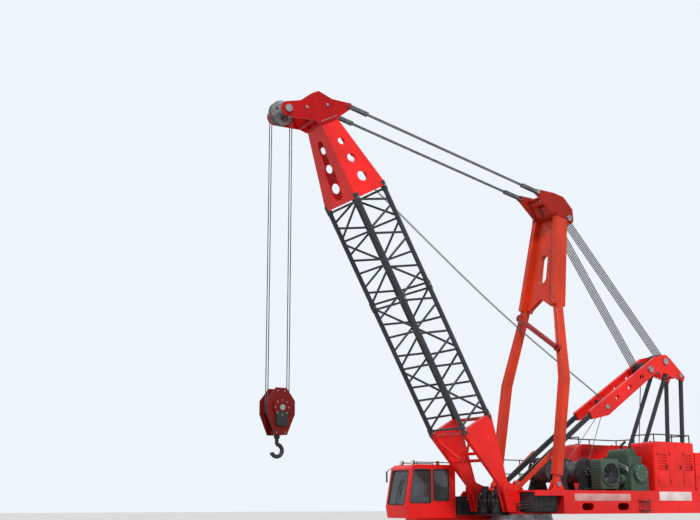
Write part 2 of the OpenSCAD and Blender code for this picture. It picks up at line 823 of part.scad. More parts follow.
// A pane fills its opening, in the middle of the wall
module cab_glass() {
    pane = 8;
    color(glass) upper() union() {
        intersection() {
            front_window();
            slab_x(cab_x0, cab_x1) difference() {
                offset(delta = -wall / 2 + pane / 2) cab_outline();
                offset(delta = -wall / 2 - pane / 2) cab_outline();
            }
        }
        intersection() {
            back_window();
            block([cab_x0, cab_x1], [cab_y1 - wall / 2 - pane / 2, cab_y1 - wall / 2 + pane / 2],
                [cab_floor, cab_roof]);
        }
        slab_x(cab_x1 - wall / 2 - pane / 2, cab_x1 - wall / 2 + pane / 2) union() {
            side_window();
            rear_side_window();
        }
    }
}

module door_glass() {
    x = cab_x0 - clear - 20;
    color(glass) upper() slab_x(x - 4, x + 4) door_window();
}

module cab_seat() {
    x = (cab_x0 + cab_x1) / 2;
    floor_z = cab_floor + wall;
    color(dark) upper() union() {
        block([x - 150, x + 150], [seat_y - 130, seat_y + 150], [floor_z, floor_z + 280]);
        translate([x - 240, seat_y - 260, floor_z + 260]) linear_extrude(130) rounded(480, 500, 70);
        slab_x(x - 220, x + 220) polygon([[seat_y + 150, floor_z + 330], [seat_y + 280, floor_z + 330],
            [seat_y + 390, floor_z + 1000], [seat_y + 300, floor_z + 1010]]);
    }
}

module cab_console() {
    floor_z = cab_floor + wall;
    x = (cab_x0 + cab_x1) / 2;
    color(dark) upper() {
        for (s = [-1, 1]) union() {
            block([x + s * 345 - 75, x + s * 345 + 75], [seat_y - 330, seat_y + 200],
                [floor_z, floor_z + 560]);
            for (y = [seat_y - 250, seat_y - 120])
                translate([x + s * 345, y, floor_z + 550]) cylinder(r = 14, h = 190);
            for (y = [seat_y - 250, seat_y - 120])
                translate([x + s * 345, y, floor_z + 740]) sphere(r = 26);
        }
        slab_x(x - 200, x + 200) polygon([[cab_y0 + 330, floor_z], [cab_y0 + 480, floor_z],
            [cab_y0 + 430, floor_z + 230], [cab_y0 + 370, floor_z + 230]]);
    }
}

// Pieces of the boom

// One face of lacing between two chords. Corners are given in X and Y.
module lacing_face(c0, c1, bays, split, rungs) {
    half = bays * split;
    step = bay_length / split;
    off = lacing_d * 0.75;
    for (i = [0 : half - 1]) {
        low = i % 2 == 0 ? c0 : c1;
        high = i % 2 == 0 ? c1 : c0;
        tube([low[0], low[1], i * step + off + 60], [high[0], high[1], (i + 1) * step - off + 8],
            lacing_d / 2);
    }
    if (rungs) for (i = [0 : bays]) {
        z = i == 0 ? 75 : i == bays ? bays * bay_length - 75 : i * bay_length + 40;
        tube([c0[0], c0[1], z], [c1[0], c1[1], z], lacing_d / 2);
    }
}

module insert(bays) {
    corner = [[-chord_x, -chord_y], [chord_x, -chord_y], [chord_x, chord_y], [-chord_x, chord_y]];
    for (x = [-chord_x, chord_x], y = [-chord_y, chord_y])
        translate([x, y, 0]) cylinder(r = chord_d / 2, h = bays * bay_length);
    lacing_face(corner[0], corner[1], bays, 1, true);
    lacing_face(corner[2], corner[3], bays, 1, true);
    lacing_face(corner[1], corner[2], bays, 2, false);
    lacing_face(corner[3], corner[0], bays, 2, false);
}

module boom_insert_lower() {
    color(grey) in_boom() translate([0, 0, s_lower]) insert(lower_bays);
}

module boom_insert_upper() {
    color(grey) in_boom() translate([0, 0, s_upper]) insert(upper_bays);
}

// Foot section: a plated leg on each side that tapers to its pin lug
module boom_foot() {
    outer = boom_width / 2;
    color(red) in_boom() union() {
        both_sides() difference() {
            union() {
                hull() {
                    block([outer - 160, outer], [-boom_depth / 2, boom_depth / 2],
                        [foot_length - 60, foot_length]);
                    block([lug_x - lug_t / 2, lug_x + lug_t / 2], [-150, 150], [180, 240]);
                }
                block([lug_x - lug_t / 2, lug_x + lug_t / 2], [-150, 150], [0, 240]);
                bar_x(lug_x - lug_t / 2, lug_x + lug_t / 2, 0, 0, 150);
            }
            bar_x(lug_x - lug_t, lug_x + lug_t, 0, 0, foot_pin_d / 2 + fit);
        }
        for (y = [-chord_y, chord_y])
            tube([-outer + 100, y, foot_length - 100], [outer - 100, y, foot_length - 100], 50);
        for (y = [-chord_y + 100, chord_y - 100], s = [-1, 1])
            tube([s * (outer - 110), y, foot_length - 330], [0, y, foot_length - 1030], 36);
        for (y = [-230, 230])
            tube([-outer + 100, y, foot_length - 1050], [outer - 100, y, foot_length - 1050], 45);
    }
}

module frustum(w0, d0, z0, w1, d1, z1) {
    hull() {
        translate([-w0 / 2, -d0 / 2, z0]) cube([w0, d0, 1]);
        translate([-w1 / 2, -d1 / 2, z1 - 1]) cube([w1, d1, 1]);
    }
}

// Head section: a plated box that tapers to the neck, open along its belly and back
module boom_head_section() {
    length = s_neck - s_head;
    skin = 60;
    slot = 150;
    color(red) in_boom() translate([0, 0, s_head]) difference() {
        frustum(boom_width, boom_depth, 0, neck_w, neck_d, length);
        frustum(boom_width - 2 * skin, boom_depth - 2 * skin, -2,
            neck_w - 2 * skin, neck_d - 2 * skin, length + 2);
        for (z = [0.16, 0.5]) {
            w = boom_width * (1 - z) * 0.34;
            translate([-w / 2, -boom_depth, z * length]) cube([w, 2 * boom_depth, length * 0.27]);
            for (e = [z, z + 0.27]) translate([0, 0, e * length]) rotate([90, 0, 0])
                cylinder(r = w / 2, h = 2 * boom_depth, center = true);
        }
        for (z = [0.22, 0.48, 0.72])
            bar_x(-boom_width, boom_width, 0, z * length, slot * (1.1 - z * 0.6));
    }
}

// Boom head: two plates that hold the tip sheaves in front and the pendants behind
module boom_head() {
    tip = [-nose_reach, boom_length];
    base = s_neck;
    color(red) in_boom() difference() {
        union() {
            both_sides() {
                slab_x(plate_x - plate_t / 2, plate_x + plate_t / 2) union() {
                    polygon([[tip[0] - 90, tip[1] - 180], [-neck_d / 2 - 160, base + 150],
                        [-neck_d / 2 - 20, base], [neck_d / 2 + 20, base],
                        [pendant_pin[0] + 60, pendant_pin[1] - 80],
                        [pendant_pin[0] + 30, pendant_pin[1] + 85], [360, base + 520],
                        [60, base + 850], [-160, base + 860], [-600, base + 790],
                        [tip[0] + 20, tip[1] + 200]]);
                    translate(tip) circle(200);
                    translate(pendant_pin) circle(90);
                }
                bar_x(plate_x - 80, plate_x + 80, pendant_pin[0], pendant_pin[1], 40);
            }
            block([-plate_x, plate_x], [-neck_d / 2 - 20, neck_d / 2 + 20], [base, base + 60]);
            for (p = [[-420, base + 210], [-100, base + 740], [330, base + 300]])
                bar_x(-plate_x, plate_x, p[0], p[1], 60);
            bar_x(-plate_x - 60, plate_x + 60, tip[0], tip[1], 60);
        }
        bar_x(-600, 600, -520, base + 560, 45);
        bar_x(-600, 600, 120, base + 420, 45);
    }
}

module head_sheaves() {
    color(steel) in_boom() translate([0, -nose_reach, boom_length]) union() hoist_pair(330);
}

// Pieces of the mast

// Trunk over the legs: two side walls, and a web with a slot and a forked lower edge
module trunk() {
    foot_x = mast_knees[2][0];
    foot_z = mast_knees[2][1];
    top_x = 465;
    side = 85;
    for (s = [-1, 1]) rotate([90, 0, 0]) translate([0, 0, -trunk_half]) linear_extrude(2 * trunk_half)
        polygon([[s * (foot_x - side), foot_z], [s * (foot_x + side), foot_z],
            [s * (top_x + side), trunk_top], [s * (top_x - side), trunk_top]]);
    rotate([90, 0, 0]) translate([0, 0, -70]) linear_extrude(140) difference() {
        polygon([[-foot_x, foot_z], [-foot_x + 260, foot_z], [0, foot_z + 300], [foot_x - 260, foot_z],
            [foot_x, foot_z], [top_x, trunk_top], [-top_x, trunk_top]]);
        for (z = [foot_z + 950, foot_z + 1570]) translate([0, z]) circle(150);
        translate([-150, foot_z + 950]) square([300, 620]);
    }
}

// Box of one leg, drawn in X and Z, between the knees
module leg_outline() {
    polygon([for (side = [1, -1], i = side > 0 ? [0, 1, 2] : [2, 1, 0])
        [mast_knees[i][0] + side * leg_half[i], mast_knees[i][1]]]);
}

module mast() {
    eye_half = 50;
    color(orange) in_mast() union() {
        both_sides() {
            difference() {
                union() {
                    bar_x(mast_spread / 2 - eye_half, mast_spread / 2 + eye_half, 0, 0, 115);
                    slab_x(mast_spread / 2 - eye_half, mast_spread / 2 + eye_half)
                        polygon([[-115, 0], [115, 0], [90, 330], [-90, 330]]);
                }
                bar_x(mast_spread / 2 - 60, mast_spread / 2 + 60, 0, 0, 50 + fit);
            }
            rotate([90, 0, 0]) translate([0, 0, -leg_depth]) linear_extrude(2 * leg_depth) leg_outline();
        }
        trunk();
    }
}

// Brace across the front of the mast's legs, from the far leg down to the near one
module mast_brace() {
    far_z = 5120;
    near_z = 3950;
    brace_r = 78;
    slope = (mast_knees[1][0] - mast_knees[2][0]) / (mast_knees[2][1] - mast_knees[1][1]);
    far_x = mast_knees[2][0] + (mast_knees[2][1] - far_z) * slope;
    near_x = mast_knees[2][0] + (mast_knees[2][1] - near_z) * slope;
    y = -leg_depth - clear - brace_r;
    color(red) in_mast() union() {
        tube([-far_x, y, far_z], [near_x, y, near_z], brace_r);
        for (e = [[-far_x, far_z], [near_x, near_z]])
            translate([e[0], -leg_depth - seat, e[1]]) rotate([90, 0, 0]) cylinder(r = 110, h = 90);
    }
}

module mast_head() {
    z = mast_length;
    color(orange) in_mast() union() {
        both_sides() {
            slab_x(plate_x - plate_t / 2, plate_x + plate_t / 2) union() {
                polygon([[-trunk_half, trunk_top], [trunk_half + 10, trunk_top],
                    [mast_sheave[0], mast_sheave[1] - 190], [mast_sheave[0] + 190, mast_sheave[1]],
                    [mast_sheave[0] + 110, mast_sheave[1] + 330], [100, z + 240], [-300, z + 250],
                    [mast_pendant[0] - 10, mast_pendant[1] + 90],
                    [mast_pendant[0] - 40, mast_pendant[1] - 80]]);
                translate(mast_pendant) circle(90);
                translate(mast_sheave) circle(190);
            }
            bar_x(plate_x - 25, plate_x + 25, mast_pendant[0], mast_pendant[1], 45);
            bar_x(luff_pack + 5, plate_x, mast_sheave[0], mast_sheave[1], shaft_r + 30);
        }
        block([-560, 560], [-trunk_half, 120], [trunk_top, trunk_top + 110]);
        for (y = [-560, -140]) bar_x(-plate_x, plate_x, y, z + 60, 60);
        bar_x(-plate_x - 50, plate_x + 50, mast_sheave[0], mast_sheave[1], shaft_r);
    }
}

module mast_sheaves() {
    color(steel) in_mast() translate([0, mast_sheave[0], mast_sheave[1]]) luffing_pack();
}

// Pieces of the pendants

module pendant() {
    v = [pendant_y1 - pendant_y0, pendant_z1 - pendant_z0];
    len = norm(v);
    fork = 560;
    upper() translate([0, pendant_y0, pendant_z0]) rotate([atan2(v[1], v[0]), 0, 0]) union() {
        for (x = [plate_x - plate_t / 2 - clear - 30, plate_x + plate_t / 2 + clear]) {
            link_plate(x, 0, fork, true);
            link_plate(x, len, -fork, false);
        }
        for (y = [fork - 60, len - fork - 60])
            block([plate_x - 65, plate_x + 65], [y, y + 120], [-45, 45]);
        for (x = [plate_x - 38, plate_x + 38])
            translate([x, fork, 0]) rotate([-90, 0, 0]) cylinder(r = 18, h = len - 2 * fork);
    }
}

// Flat link from a pin eye at y to a crosshead, 30 thick from x
module link_plate(x, y, reach, pinned) {
    difference() {
        slab_x(x, x + 30) union() {
            translate([min(y, y + reach), -45]) square([abs(reach), 90]);
            translate([y, 0]) circle(75);
        }
        bar_x(x - 10, x + 40, y, 0, pinned ? 40 + fit : 48);
    }
}

module pendants() {
    color(steel) both_sides() pendant();
}

// Pieces of the hoist

module hoist_falls() {
    color(steel) upper()
        for (x = [-60, 60], y = [-rope_run, rope_run])
            translate([x, tip_y + y, block_height]) cylinder(r = rope_d / 2, h = tip_z - block_height);
}

module in_block() {
    upper() translate([0, tip_y, block_height]) children();
}

module hook_block() {
    cheek = 180;
    color(red) in_block() difference() {
        union() {
            both_sides() {
                slab_x(cheek, cheek + 40) union() {
                    polygon([[-150, 500], [150, 500], [block_half, 180], [block_half, -160], [170, -680],
                        [-170, -680], [-block_half, -160], [-block_half, 180]]);
                }
                slab_x(cheek + 40, cheek + 90) union() {
                    circle(230);
                    translate([-150, -420]) square([300, 330]);
                }
            }
            for (z = [430, -385]) bar_x(-cheek, cheek, 0, z, 38);
            block([-cheek, cheek], [-110, 110], [-680, -560]);
            bar_x(-cheek - 110, cheek + 110, 0, 0, 60);
        }
        translate([0, 0, -700]) cylinder(r = 48 + fit, h = 200);
    }
}

module block_sheaves() {
    color(dark) in_block() union() hoist_pair(165);
}

// Single hook with a nut over the block's trunnion
module hook() {
    r = 150;
    t = 52;
    drop = -1060;
    color(dark) in_block() union() {
        translate([0, 0, drop + r]) cylinder(r = 48, h = -drop - r - 470);
        translate([0, 0, -560 + seat]) cylinder(r = 75, h = 50);
        translate([0, 0, -760]) cylinder(r = 75, h = 80 - seat);
        translate([0, 0, drop]) rotate([90, 0, 90]) rotate([0, 0, 90])
            rotate_extrude(angle = -250) translate([r, 0]) circle(t);
        translate([0, 0, drop]) rotate([160, 0, 0]) translate([0, 0, r]) rotate([90, 0, 0]) sphere(r = t);
    }
}

carbody();
track_frame(1);  // track_frame_left
track_frame(-1);  // track_frame_right
track(1);  // track_left
track(-1);  // track_right
track_wheels(1);  // track_wheels_left
track_wheels(-1);  // track_wheels_right
travel_drives();
slew_ring_lower();
slew_ring_upper();
deck();
house_left();
house_right();
counterweights();
power_unit();
silencer();
winch_frames();
drum(main_drum);
drum(aux_drum);
drum(luff_drum);
gantry_arms();
gantry_legs();
front_brace();
gantry_sheaves();
cab_shell();
cab_door();
cab_glass();
door_glass();
cab_seat();
cab_console();
boom_foot();
boom_insert_lower();
boom_insert_upper();
boom_head_section();
boom_head();
head_sheaves();
mast();
mast_brace();
mast_head();
mast_sheaves();
pendants();
hoist_falls();
hook_block();
block_sheaves();
hook();
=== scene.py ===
"""Looks of the crawler crane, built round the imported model. Lengths are in metres.

Crane coordinates have the slewing axis at x = y = 0, and at() turns them into the row frame.
"""

import json
import math

import bmesh
import bpy
from mathutils import Matrix, Vector


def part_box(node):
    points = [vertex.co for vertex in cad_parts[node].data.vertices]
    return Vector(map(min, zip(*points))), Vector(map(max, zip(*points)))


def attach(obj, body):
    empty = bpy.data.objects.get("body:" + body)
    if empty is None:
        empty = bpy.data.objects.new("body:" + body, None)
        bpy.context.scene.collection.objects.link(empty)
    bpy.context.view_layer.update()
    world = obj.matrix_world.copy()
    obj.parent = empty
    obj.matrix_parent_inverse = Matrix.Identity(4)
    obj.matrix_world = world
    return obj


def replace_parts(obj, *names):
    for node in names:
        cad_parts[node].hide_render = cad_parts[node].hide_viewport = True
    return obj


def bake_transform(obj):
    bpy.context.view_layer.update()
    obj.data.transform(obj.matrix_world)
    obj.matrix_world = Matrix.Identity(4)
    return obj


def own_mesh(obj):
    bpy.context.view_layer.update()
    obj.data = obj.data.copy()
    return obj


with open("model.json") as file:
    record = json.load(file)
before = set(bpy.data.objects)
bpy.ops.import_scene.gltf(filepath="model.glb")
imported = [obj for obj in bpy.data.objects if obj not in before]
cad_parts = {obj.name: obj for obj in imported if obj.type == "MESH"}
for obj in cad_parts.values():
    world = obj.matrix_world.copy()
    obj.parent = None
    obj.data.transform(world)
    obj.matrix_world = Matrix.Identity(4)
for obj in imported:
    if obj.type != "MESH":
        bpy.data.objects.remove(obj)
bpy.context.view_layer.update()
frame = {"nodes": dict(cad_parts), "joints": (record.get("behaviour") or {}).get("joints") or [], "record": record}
JOINTS = {j["name"]: j for j in frame["joints"]}
SLEW_Y = JOINTS["slew"]["pos_m"][1]

# Camera, fitted to the photograph, in crane coordinates
CAMERA_AT = (22.825, -19.914, 1.6)
CAMERA_YAW = math.radians(148.285)
CAMERA_PITCH = math.radians(10.39)
CAMERA_LENS = 52.45
CAMERA_SHIFT_Y = 0.08


def pivot_of(joint):
    """A joint's place in the row frame."""
    return Vector(JOINTS[joint]["pos_m"])


# Places and angles of the boom, the mast and the block
BOOM_FOOT = pivot_of("boom_luff")
BOOM_TIP = pivot_of("tip_sheave_spin")
MAST_FOOT = pivot_of("mast_luff")
BLOCK = pivot_of("block_sheave_spin")
BOOM_ANGLE = math.radians(60.5)
MAST_LEAN = math.radians(9.4)

# Sizes of the model that the added pieces sit on
DECK_TOP = 1.95
DECK_HALF = 1.60
DECK_REAR = 5.60
HOUSE_TOP = 3.40
HOUSE_FRONT_LEFT = 3.85
HOUSE_FRONT_RIGHT = 2.95
TRACK_HALF_RUN = 2.675
TRACK_MIDDLE = 1.95
TRACK_END_R = 0.525
TRACK_SHOE_T = 0.045
SHOE_PITCH = 0.225
ROPE_RUN = 0.30
LUFF_RUN = 0.219
ROPE_R = 0.014
DRUM_ROPE_R = 0.316
CHORD_X = 0.735
CHORD_Y = 0.485
BOOM_JOINTS = (2.05, 6.01, 8.98)
GANTRY_TOP = (5.95, 6.10)
GANTRY_SECOND = (5.25, 5.80)
ARM_IN, ARM_OUT = 0.24, 0.36
MAST_SHEAVE = (0.40, 8.33)
MAST_PENDANT = (-0.96, 8.76)
MAST_KNEES = ((1.30, 0.26), (1.26, 3.05), (0.72, 5.35))
LUFF_X = [i * 0.062 for i in (-2.5, -1.5, -0.5, 0.5, 1.5, 2.5)]
ROLLER = (3.45, 4.66)
ROLLER_R = 0.045


def at(x, y, z):
    """A point in crane coordinates, in the row frame."""
    return Vector((x, y + SLEW_Y, z))


def on_boom(x, back, along):
    """A point on the boom: along it from the foot pin, and back from its middle line."""
    c, s = math.cos(BOOM_ANGLE), math.sin(BOOM_ANGLE)
    return BOOM_FOOT + Vector((x, back * s - along * c, back * c + along * s))


def on_mast(x, back, along):
    """A point on the mast: along it from the foot pin, and back from its middle line."""
    c, s = math.cos(MAST_LEAN), math.sin(MAST_LEAN)
    return MAST_FOOT + Vector((x, back * c + along * s, along * c - back * s))


# Materials


class Graph:
    """Short names for building a material's nodes."""

    def __init__(self, name):
        self.name = name
        self.mat = bpy.data.materials.new(name)
        self.mat.use_nodes = True
        self.tree = self.mat.node_tree
        self.shader = self.tree.nodes["Principled BSDF"]
        self.coords = self.add("TexCoord").outputs["Object"]

    def put(self, node, values):
        """Gives a node's sockets their values, or links from other nodes."""
        for key, value in values.items():
            if isinstance(value, bpy.types.NodeSocket):
                self.tree.links.new(value, node.inputs[key])
            else:
                node.inputs[key].default_value = value

    def add(self, kind, values=(), **settings):
        node = self.tree.nodes.new("ShaderNode" + kind)
        for key, value in settings.items():
            setattr(node, key, value)
        self.put(node, dict(values))
        return node

    def noise(self, scale, detail=4.0, rough=0.55, stretch=None):
        source = self.coords
        if stretch:
            source = self.add("Mapping", {"Vector": source, "Scale": stretch}).outputs["Vector"]
        values = {"Vector": source, "Scale": scale, "Detail": detail, "Roughness": rough}
        return self.add("TexNoise", values).outputs["Fac"]

    def ramp(self, fac, low, high, to=(0.0, 1.0)):
        values = {"Value": fac, "From Min": low, "From Max": high, "To Min": to[0], "To Max": to[1]}
        return self.add("MapRange", values, interpolation_type="SMOOTHSTEP").outputs["Result"]

    def times(self, a, b):
        return self.add("Math", {0: a, 1: b}, operation="MULTIPLY").outputs[0]

    def mix(self, fac, a, b):
        a, b = ((*value, 1.0) if isinstance(value, tuple) else value for value in (a, b))
        return self.add("Mix", {"Factor": fac, "A": a, "B": b}, data_type="RGBA").outputs["Result"]

    def upward(self, vector, low, high, to=(0.0, 1.0)):
        """Ramp over a vector's upright part."""
        return self.ramp(self.add("SeparateXYZ", {"Vector": vector}).outputs["Z"], low, high, to)

    def bump(self, fac, strength, distance):
        node = self.add("Bump", {"Strength": strength, "Distance": distance, "Height": fac})
        self.put(self.shader, {"Normal": node.outputs["Normal"]})

    def finish(self, colour, rough, metallic=0.0, coat=0.0):
        self.put(self.shader, {"Base Color": colour, "Roughness": rough, "Metallic": metallic,
                               "Coat Weight": coat, "Coat Roughness": 0.2})
        MATERIALS[self.name] = self.mat


MATERIALS = {}
DUST = (0.36, 0.31, 0.25)
RUST = (0.16, 0.055, 0.02)
GREASE = (0.028, 0.026, 0.025)
OIL = (0.035, 0.030, 0.026)
MUD = (0.23, 0.185, 0.135)
RUBBER_BLACK = (0.022, 0.022, 0.023)


def shade(colour, factor):
    """A darker or lighter colour."""
    return tuple(min(1.0, c * factor) for c in colour)


def paint(name, colour, rough=0.36, dust=0.30, chips=0.30, mud_top=1.2, gloss=0.3):
    """Enamel that has faded in patches, with rain streaks, dust on top, chips and mud near the ground."""
    g = Graph(name)
    faded = g.mix(g.ramp(g.noise(0.7), 0.35, 0.68), shade(colour, 0.84), shade(colour, 1.12))
    streaks = g.ramp(g.noise(5.0, 3.0, 0.6, (1.0, 1.0, 0.08)), 0.55, 0.80, (0.0, 0.35))
    streaked = g.mix(streaks, faded, shade(colour, 0.55))
    facing_up = g.upward(g.add("NewGeometry").outputs["Normal"], 0.35, 0.95)
    dusty_share = g.times(g.times(facing_up, g.ramp(g.noise(2.3), 0.30, 0.75)), dust)
    dusty = g.mix(dusty_share, streaked, DUST)
    chipped = g.ramp(g.noise(23.0, 8.0, 0.72), 0.70, 0.735, (0.0, chips))
    worn = g.mix(chipped, dusty, RUST)
    near_ground = g.upward(g.coords, 0.25, mud_top, (1.0, 0.0))
    mud = g.times(near_ground, g.ramp(g.noise(3.4, 6.0), 0.42, 0.72, (0.0, 0.75)))
    final = g.mix(mud, worn, shade(DUST, 0.62))
    g.bump(g.noise(60.0, 5.0), 0.10, 0.004)
    rough_map = g.ramp(g.noise(4.0, 5.0), 0.25, 0.80, (rough - 0.10, rough + 0.20))
    g.put(g.shader, {"Specular IOR Level": gloss})
    g.finish(final, rough_map, coat=0.03)


def bare_metal(name, colour, rough=0.38, oil=0.35):
    """Brushed metal with oily patches."""
    g = Graph(name)
    base = g.mix(g.ramp(g.noise(3.0, 5.0), 0.35, 0.70), shade(colour, 0.70), shade(colour, 1.15))
    grime = g.ramp(g.noise(9.0, 6.0, 0.65), 0.52, 0.72, (0.0, oil))
    greasy = g.mix(grime, base, OIL)
    g.bump(g.noise(90.0, 3.0, 0.5, (0.15, 1.0, 1.0)), 0.12, 0.002)
    g.finish(greasy, g.ramp(g.noise(14.0), 0.3, 0.8, (rough - 0.08, rough + 0.22)), metallic=0.85)


def track_steel():
    """Dark cast steel with rust and dried mud."""
    g = Graph("track_steel")
    base = g.mix(g.ramp(g.noise(2.2, 6.0), 0.35, 0.70), (0.055, 0.045, 0.038), (0.13, 0.11, 0.095))
    rusty = g.mix(g.ramp(g.noise(11.0, 7.0, 0.7), 0.54, 0.74, (0.0, 0.55)), base, RUST)
    mud = g.mix(g.ramp(g.noise(4.4, 7.0), 0.46, 0.70, (0.0, 0.80)), rusty, MUD)
    g.bump(g.noise(26.0, 8.0, 0.7), 0.45, 0.012)
    g.finish(mud, g.ramp(g.noise(6.0), 0.3, 0.8, (0.55, 0.88)), metallic=0.25)


def rope(name, low, high, metallic):
    """Wire rope with patches of grease."""
    g = Graph(name)
    base = g.mix(g.ramp(g.noise(6.0, 4.0), 0.35, 0.70), low, high)
    greasy = g.mix(g.ramp(g.noise(30.0, 4.0), 0.50, 0.75, (0.0, 0.45)), base, GREASE)
    g.bump(g.noise(220.0, 2.0), 0.25, 0.002)
    g.finish(greasy, 0.52, metallic=metallic)


def rubber():
    """Black rubber, for hoses and seals."""
    g = Graph("rubber")
    base = g.mix(g.ramp(g.noise(8.0), 0.35, 0.75), RUBBER_BLACK, shade(RUBBER_BLACK, 1.9))
    g.bump(g.noise(150.0, 3.0), 0.15, 0.002)
    g.finish(base, g.ramp(g.noise(20.0), 0.3, 0.8, (0.62, 0.85)))


def glass():
    """Tinted window glass with a film of dust."""
    g = Graph("window_glass")
    tint = g.mix(g.ramp(g.noise(1.6), 0.3, 0.8), (0.030, 0.040, 0.043), (0.065, 0.082, 0.086))
    dusty = g.mix(g.ramp(g.noise(7.0, 6.0), 0.55, 0.85, (0.0, 0.20)), tint, shade(DUST, 0.7))
    g.put(g.shader, {"Alpha": 0.66, "Specular IOR Level": 0.8})
    g.finish(dusty, g.ramp(g.noise(12.0), 0.3, 0.8, (0.04, 0.16)))
    g.mat.surface_render_method = "BLENDED"


def leather():
    """Leather with a fine grain of cells."""
    g = Graph("seat_leather")
    base = g.mix(g.ramp(g.noise(5.0), 0.3, 0.75), (0.030, 0.030, 0.033), (0.06, 0.058, 0.06))
    cells = g.add("TexVoronoi", {"Vector": g.coords, "Scale": 260.0})
    g.bump(cells.outputs["Distance"], 0.35, 0.002)
    g.finish(base, g.ramp(g.noise(9.0), 0.3, 0.8, (0.42, 0.62)))


def plain(name, low, high, rough, scale=6.0):
    """Even colour with faint patches."""
    g = Graph(name)
    base = g.mix(g.ramp(g.noise(scale, 5.0), 0.30, 0.75), low, high)
    g.bump(g.noise(scale * 12, 4.0), 0.12, 0.003)
    g.finish(base, g.ramp(g.noise(scale * 2), 0.3, 0.8, (rough - 0.08, rough + 0.12)))


paint("red_paint", (0.78, 0.012, 0.009), dust=0.16)
# Darker copies of the crane's paint for the boom head, hook block and mast head: painted shade
paint("boom_head_shaded_red", (0.44, 0.004, 0.004), dust=0.10, gloss=0.15)
paint("block_shaded_red", (0.15, 0.006, 0.005), dust=0.10, gloss=0.15)
paint("mast_head_shaded_red", (0.34, 0.014, 0.004), dust=0.12, gloss=0.15)
paint("orange_paint", (0.60, 0.033, 0.006), dust=0.14)
paint("grey_paint", (0.040, 0.043, 0.050), rough=0.45, chips=0.6, gloss=0.25)
paint("black_paint", (0.022, 0.022, 0.025), rough=0.42, dust=0.18)
paint("green_paint", (0.050, 0.098, 0.066), rough=0.42, dust=0.15)
# Darker copy of the red for the mast brace: painted shade
paint("brace_shaded_red", (0.27, 0.010, 0.006), dust=0.2)
bare_metal("steel", (0.36, 0.37, 0.38))
bare_metal("galvanised", (0.42, 0.43, 0.44), rough=0.48, oil=0.15)
bare_metal("greased_iron", (0.10, 0.10, 0.105), rough=0.45, oil=0.75)
rope("rope_steel", (0.070, 0.075, 0.085), (0.15, 0.16, 0.175), 0.35)
# Darker, non-metallic copy of the wire rope for the luffing ropes: painted shade
rope("shaded_rope", (0.018, 0.020, 0.024), (0.045, 0.048, 0.055), 0.0)
track_steel()
glass()
leather()
rubber()
# Pale colours for the strips on the deck's sides: painted highlight on the red paint
plain("pink_highlight", (0.52, 0.21, 0.20), (0.66, 0.33, 0.31), 0.45, 3.0)
plain("pale_highlight", (0.62, 0.50, 0.49), (0.78, 0.70, 0.69), 0.45, 3.0)
plain("lamp_lens", (0.62, 0.62, 0.58), (0.80, 0.80, 0.76), 0.14, 30.0)
plain("amber_lens", (0.62, 0.20, 0.02), (0.80, 0.30, 0.03), 0.16, 30.0)

# Nodes of the model with a finer look than their slot, and the slot of each look that has one; the darker paints
# and the darker rope among them are painted shade
FINER_LOOKS = {
    "greased_iron": ("mast_sheaves", "gantry_sheaves", "block_sheaves",
                     "main_drum", "aux_drum", "luff_drum"),
    "brace_shaded_red": ("mast_brace",),
    "boom_head_shaded_red": ("boom_head",),
    "mast_head_shaded_red": ("mast_head",),
    "block_shaded_red": ("hook_block",),
}
SLOTS = {"galvanised": "steel", "greased_iron": "steel", "shaded_rope": "rope_steel"}
for same in ("red_paint", "black_paint", "green_paint", "grey_paint", "orange_paint", "steel", "rope_steel",
             "seat_leather"):
    SLOTS[same] = same

look_of = {node: look for look, nodes in FINER_LOOKS.items() for node in nodes}
for row in frame["record"]["subparts"]:
    cad = frame["nodes"][row["node"]].data
    cad.materials.clear()
    cad.materials.append(MATERIALS[look_of.get(row["node"], row["material_slot"])])


# Mesh tools


def into_scene(name, data):
    """New object of a mesh, a lamp or a camera."""
    obj = bpy.data.objects.new(name, data)
    bpy.context.scene.collection.objects.link(obj)
    return obj


def piece(name, bm, look, body="upper_works", slot=None, smooth=35.0):
    """Makes an object of a bmesh, which rides on a body."""
    bmesh.ops.recalc_face_normals(bm, faces=bm.faces)
    mesh = bpy.data.meshes.new(name)
    bm.to_mesh(mesh)
    bm.free()
    mesh.materials.append(MATERIALS[look])
    for polygon in mesh.polygons:
        polygon.use_smooth = True
    mesh.set_sharp_from_angle(angle=math.radians(smooth))
    obj = into_scene(name, mesh)
    slot = slot or SLOTS.get(look)
    if body:
        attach(obj, body)
    return obj


def meshes(count):
    """Empty meshes, one for each piece that a function makes."""
    return [bmesh.new() for _ in range(count)]


def circle(count):
    """Cosine and sine of evenly spread angles."""
    return [(math.cos(a), math.sin(a)) for a in (2 * math.pi * k / count for k in range(count))]


def skin(bm, rings, closed=False):
    """Faces between rings of points, with capped ends unless it is closed."""
    rings = [[bm.verts.new(p) for p in ring] for ring in rings]
    pairs = list(zip(rings, rings[1:])) + ([(rings[-1], rings[0])] if closed else [])
    for low, high in pairs:
        for k in range(len(low)):
            n = (k + 1) % len(low)
            bm.faces.new((low[k], low[n], high[n], high[k]))
    if not closed:
        bm.faces.new(rings[0][::-1])
        bm.faces.new(rings[-1])


def rod(bm, p, q, r, sides=12, r_end=None):
    """Straight rod between two points, with rounded rims."""
    p, q = Vector(p), Vector(q)
    r_end = r if r_end is None else r_end
    length = (q - p).length
    rim = min(r, r_end, length / 2) * 0.18
    turn = (q - p).normalized().to_track_quat("Z", "Y").to_matrix().to_4x4()
    place = Matrix.Translation(p) @ turn
    outline = [(r - rim, 0.0), (r, rim), (r_end, length - rim), (r_end - rim, length)]
    skin(bm, [[place @ Vector((k * c, k * s, z)) for c, s in circle(sides)] for k, z in outline])


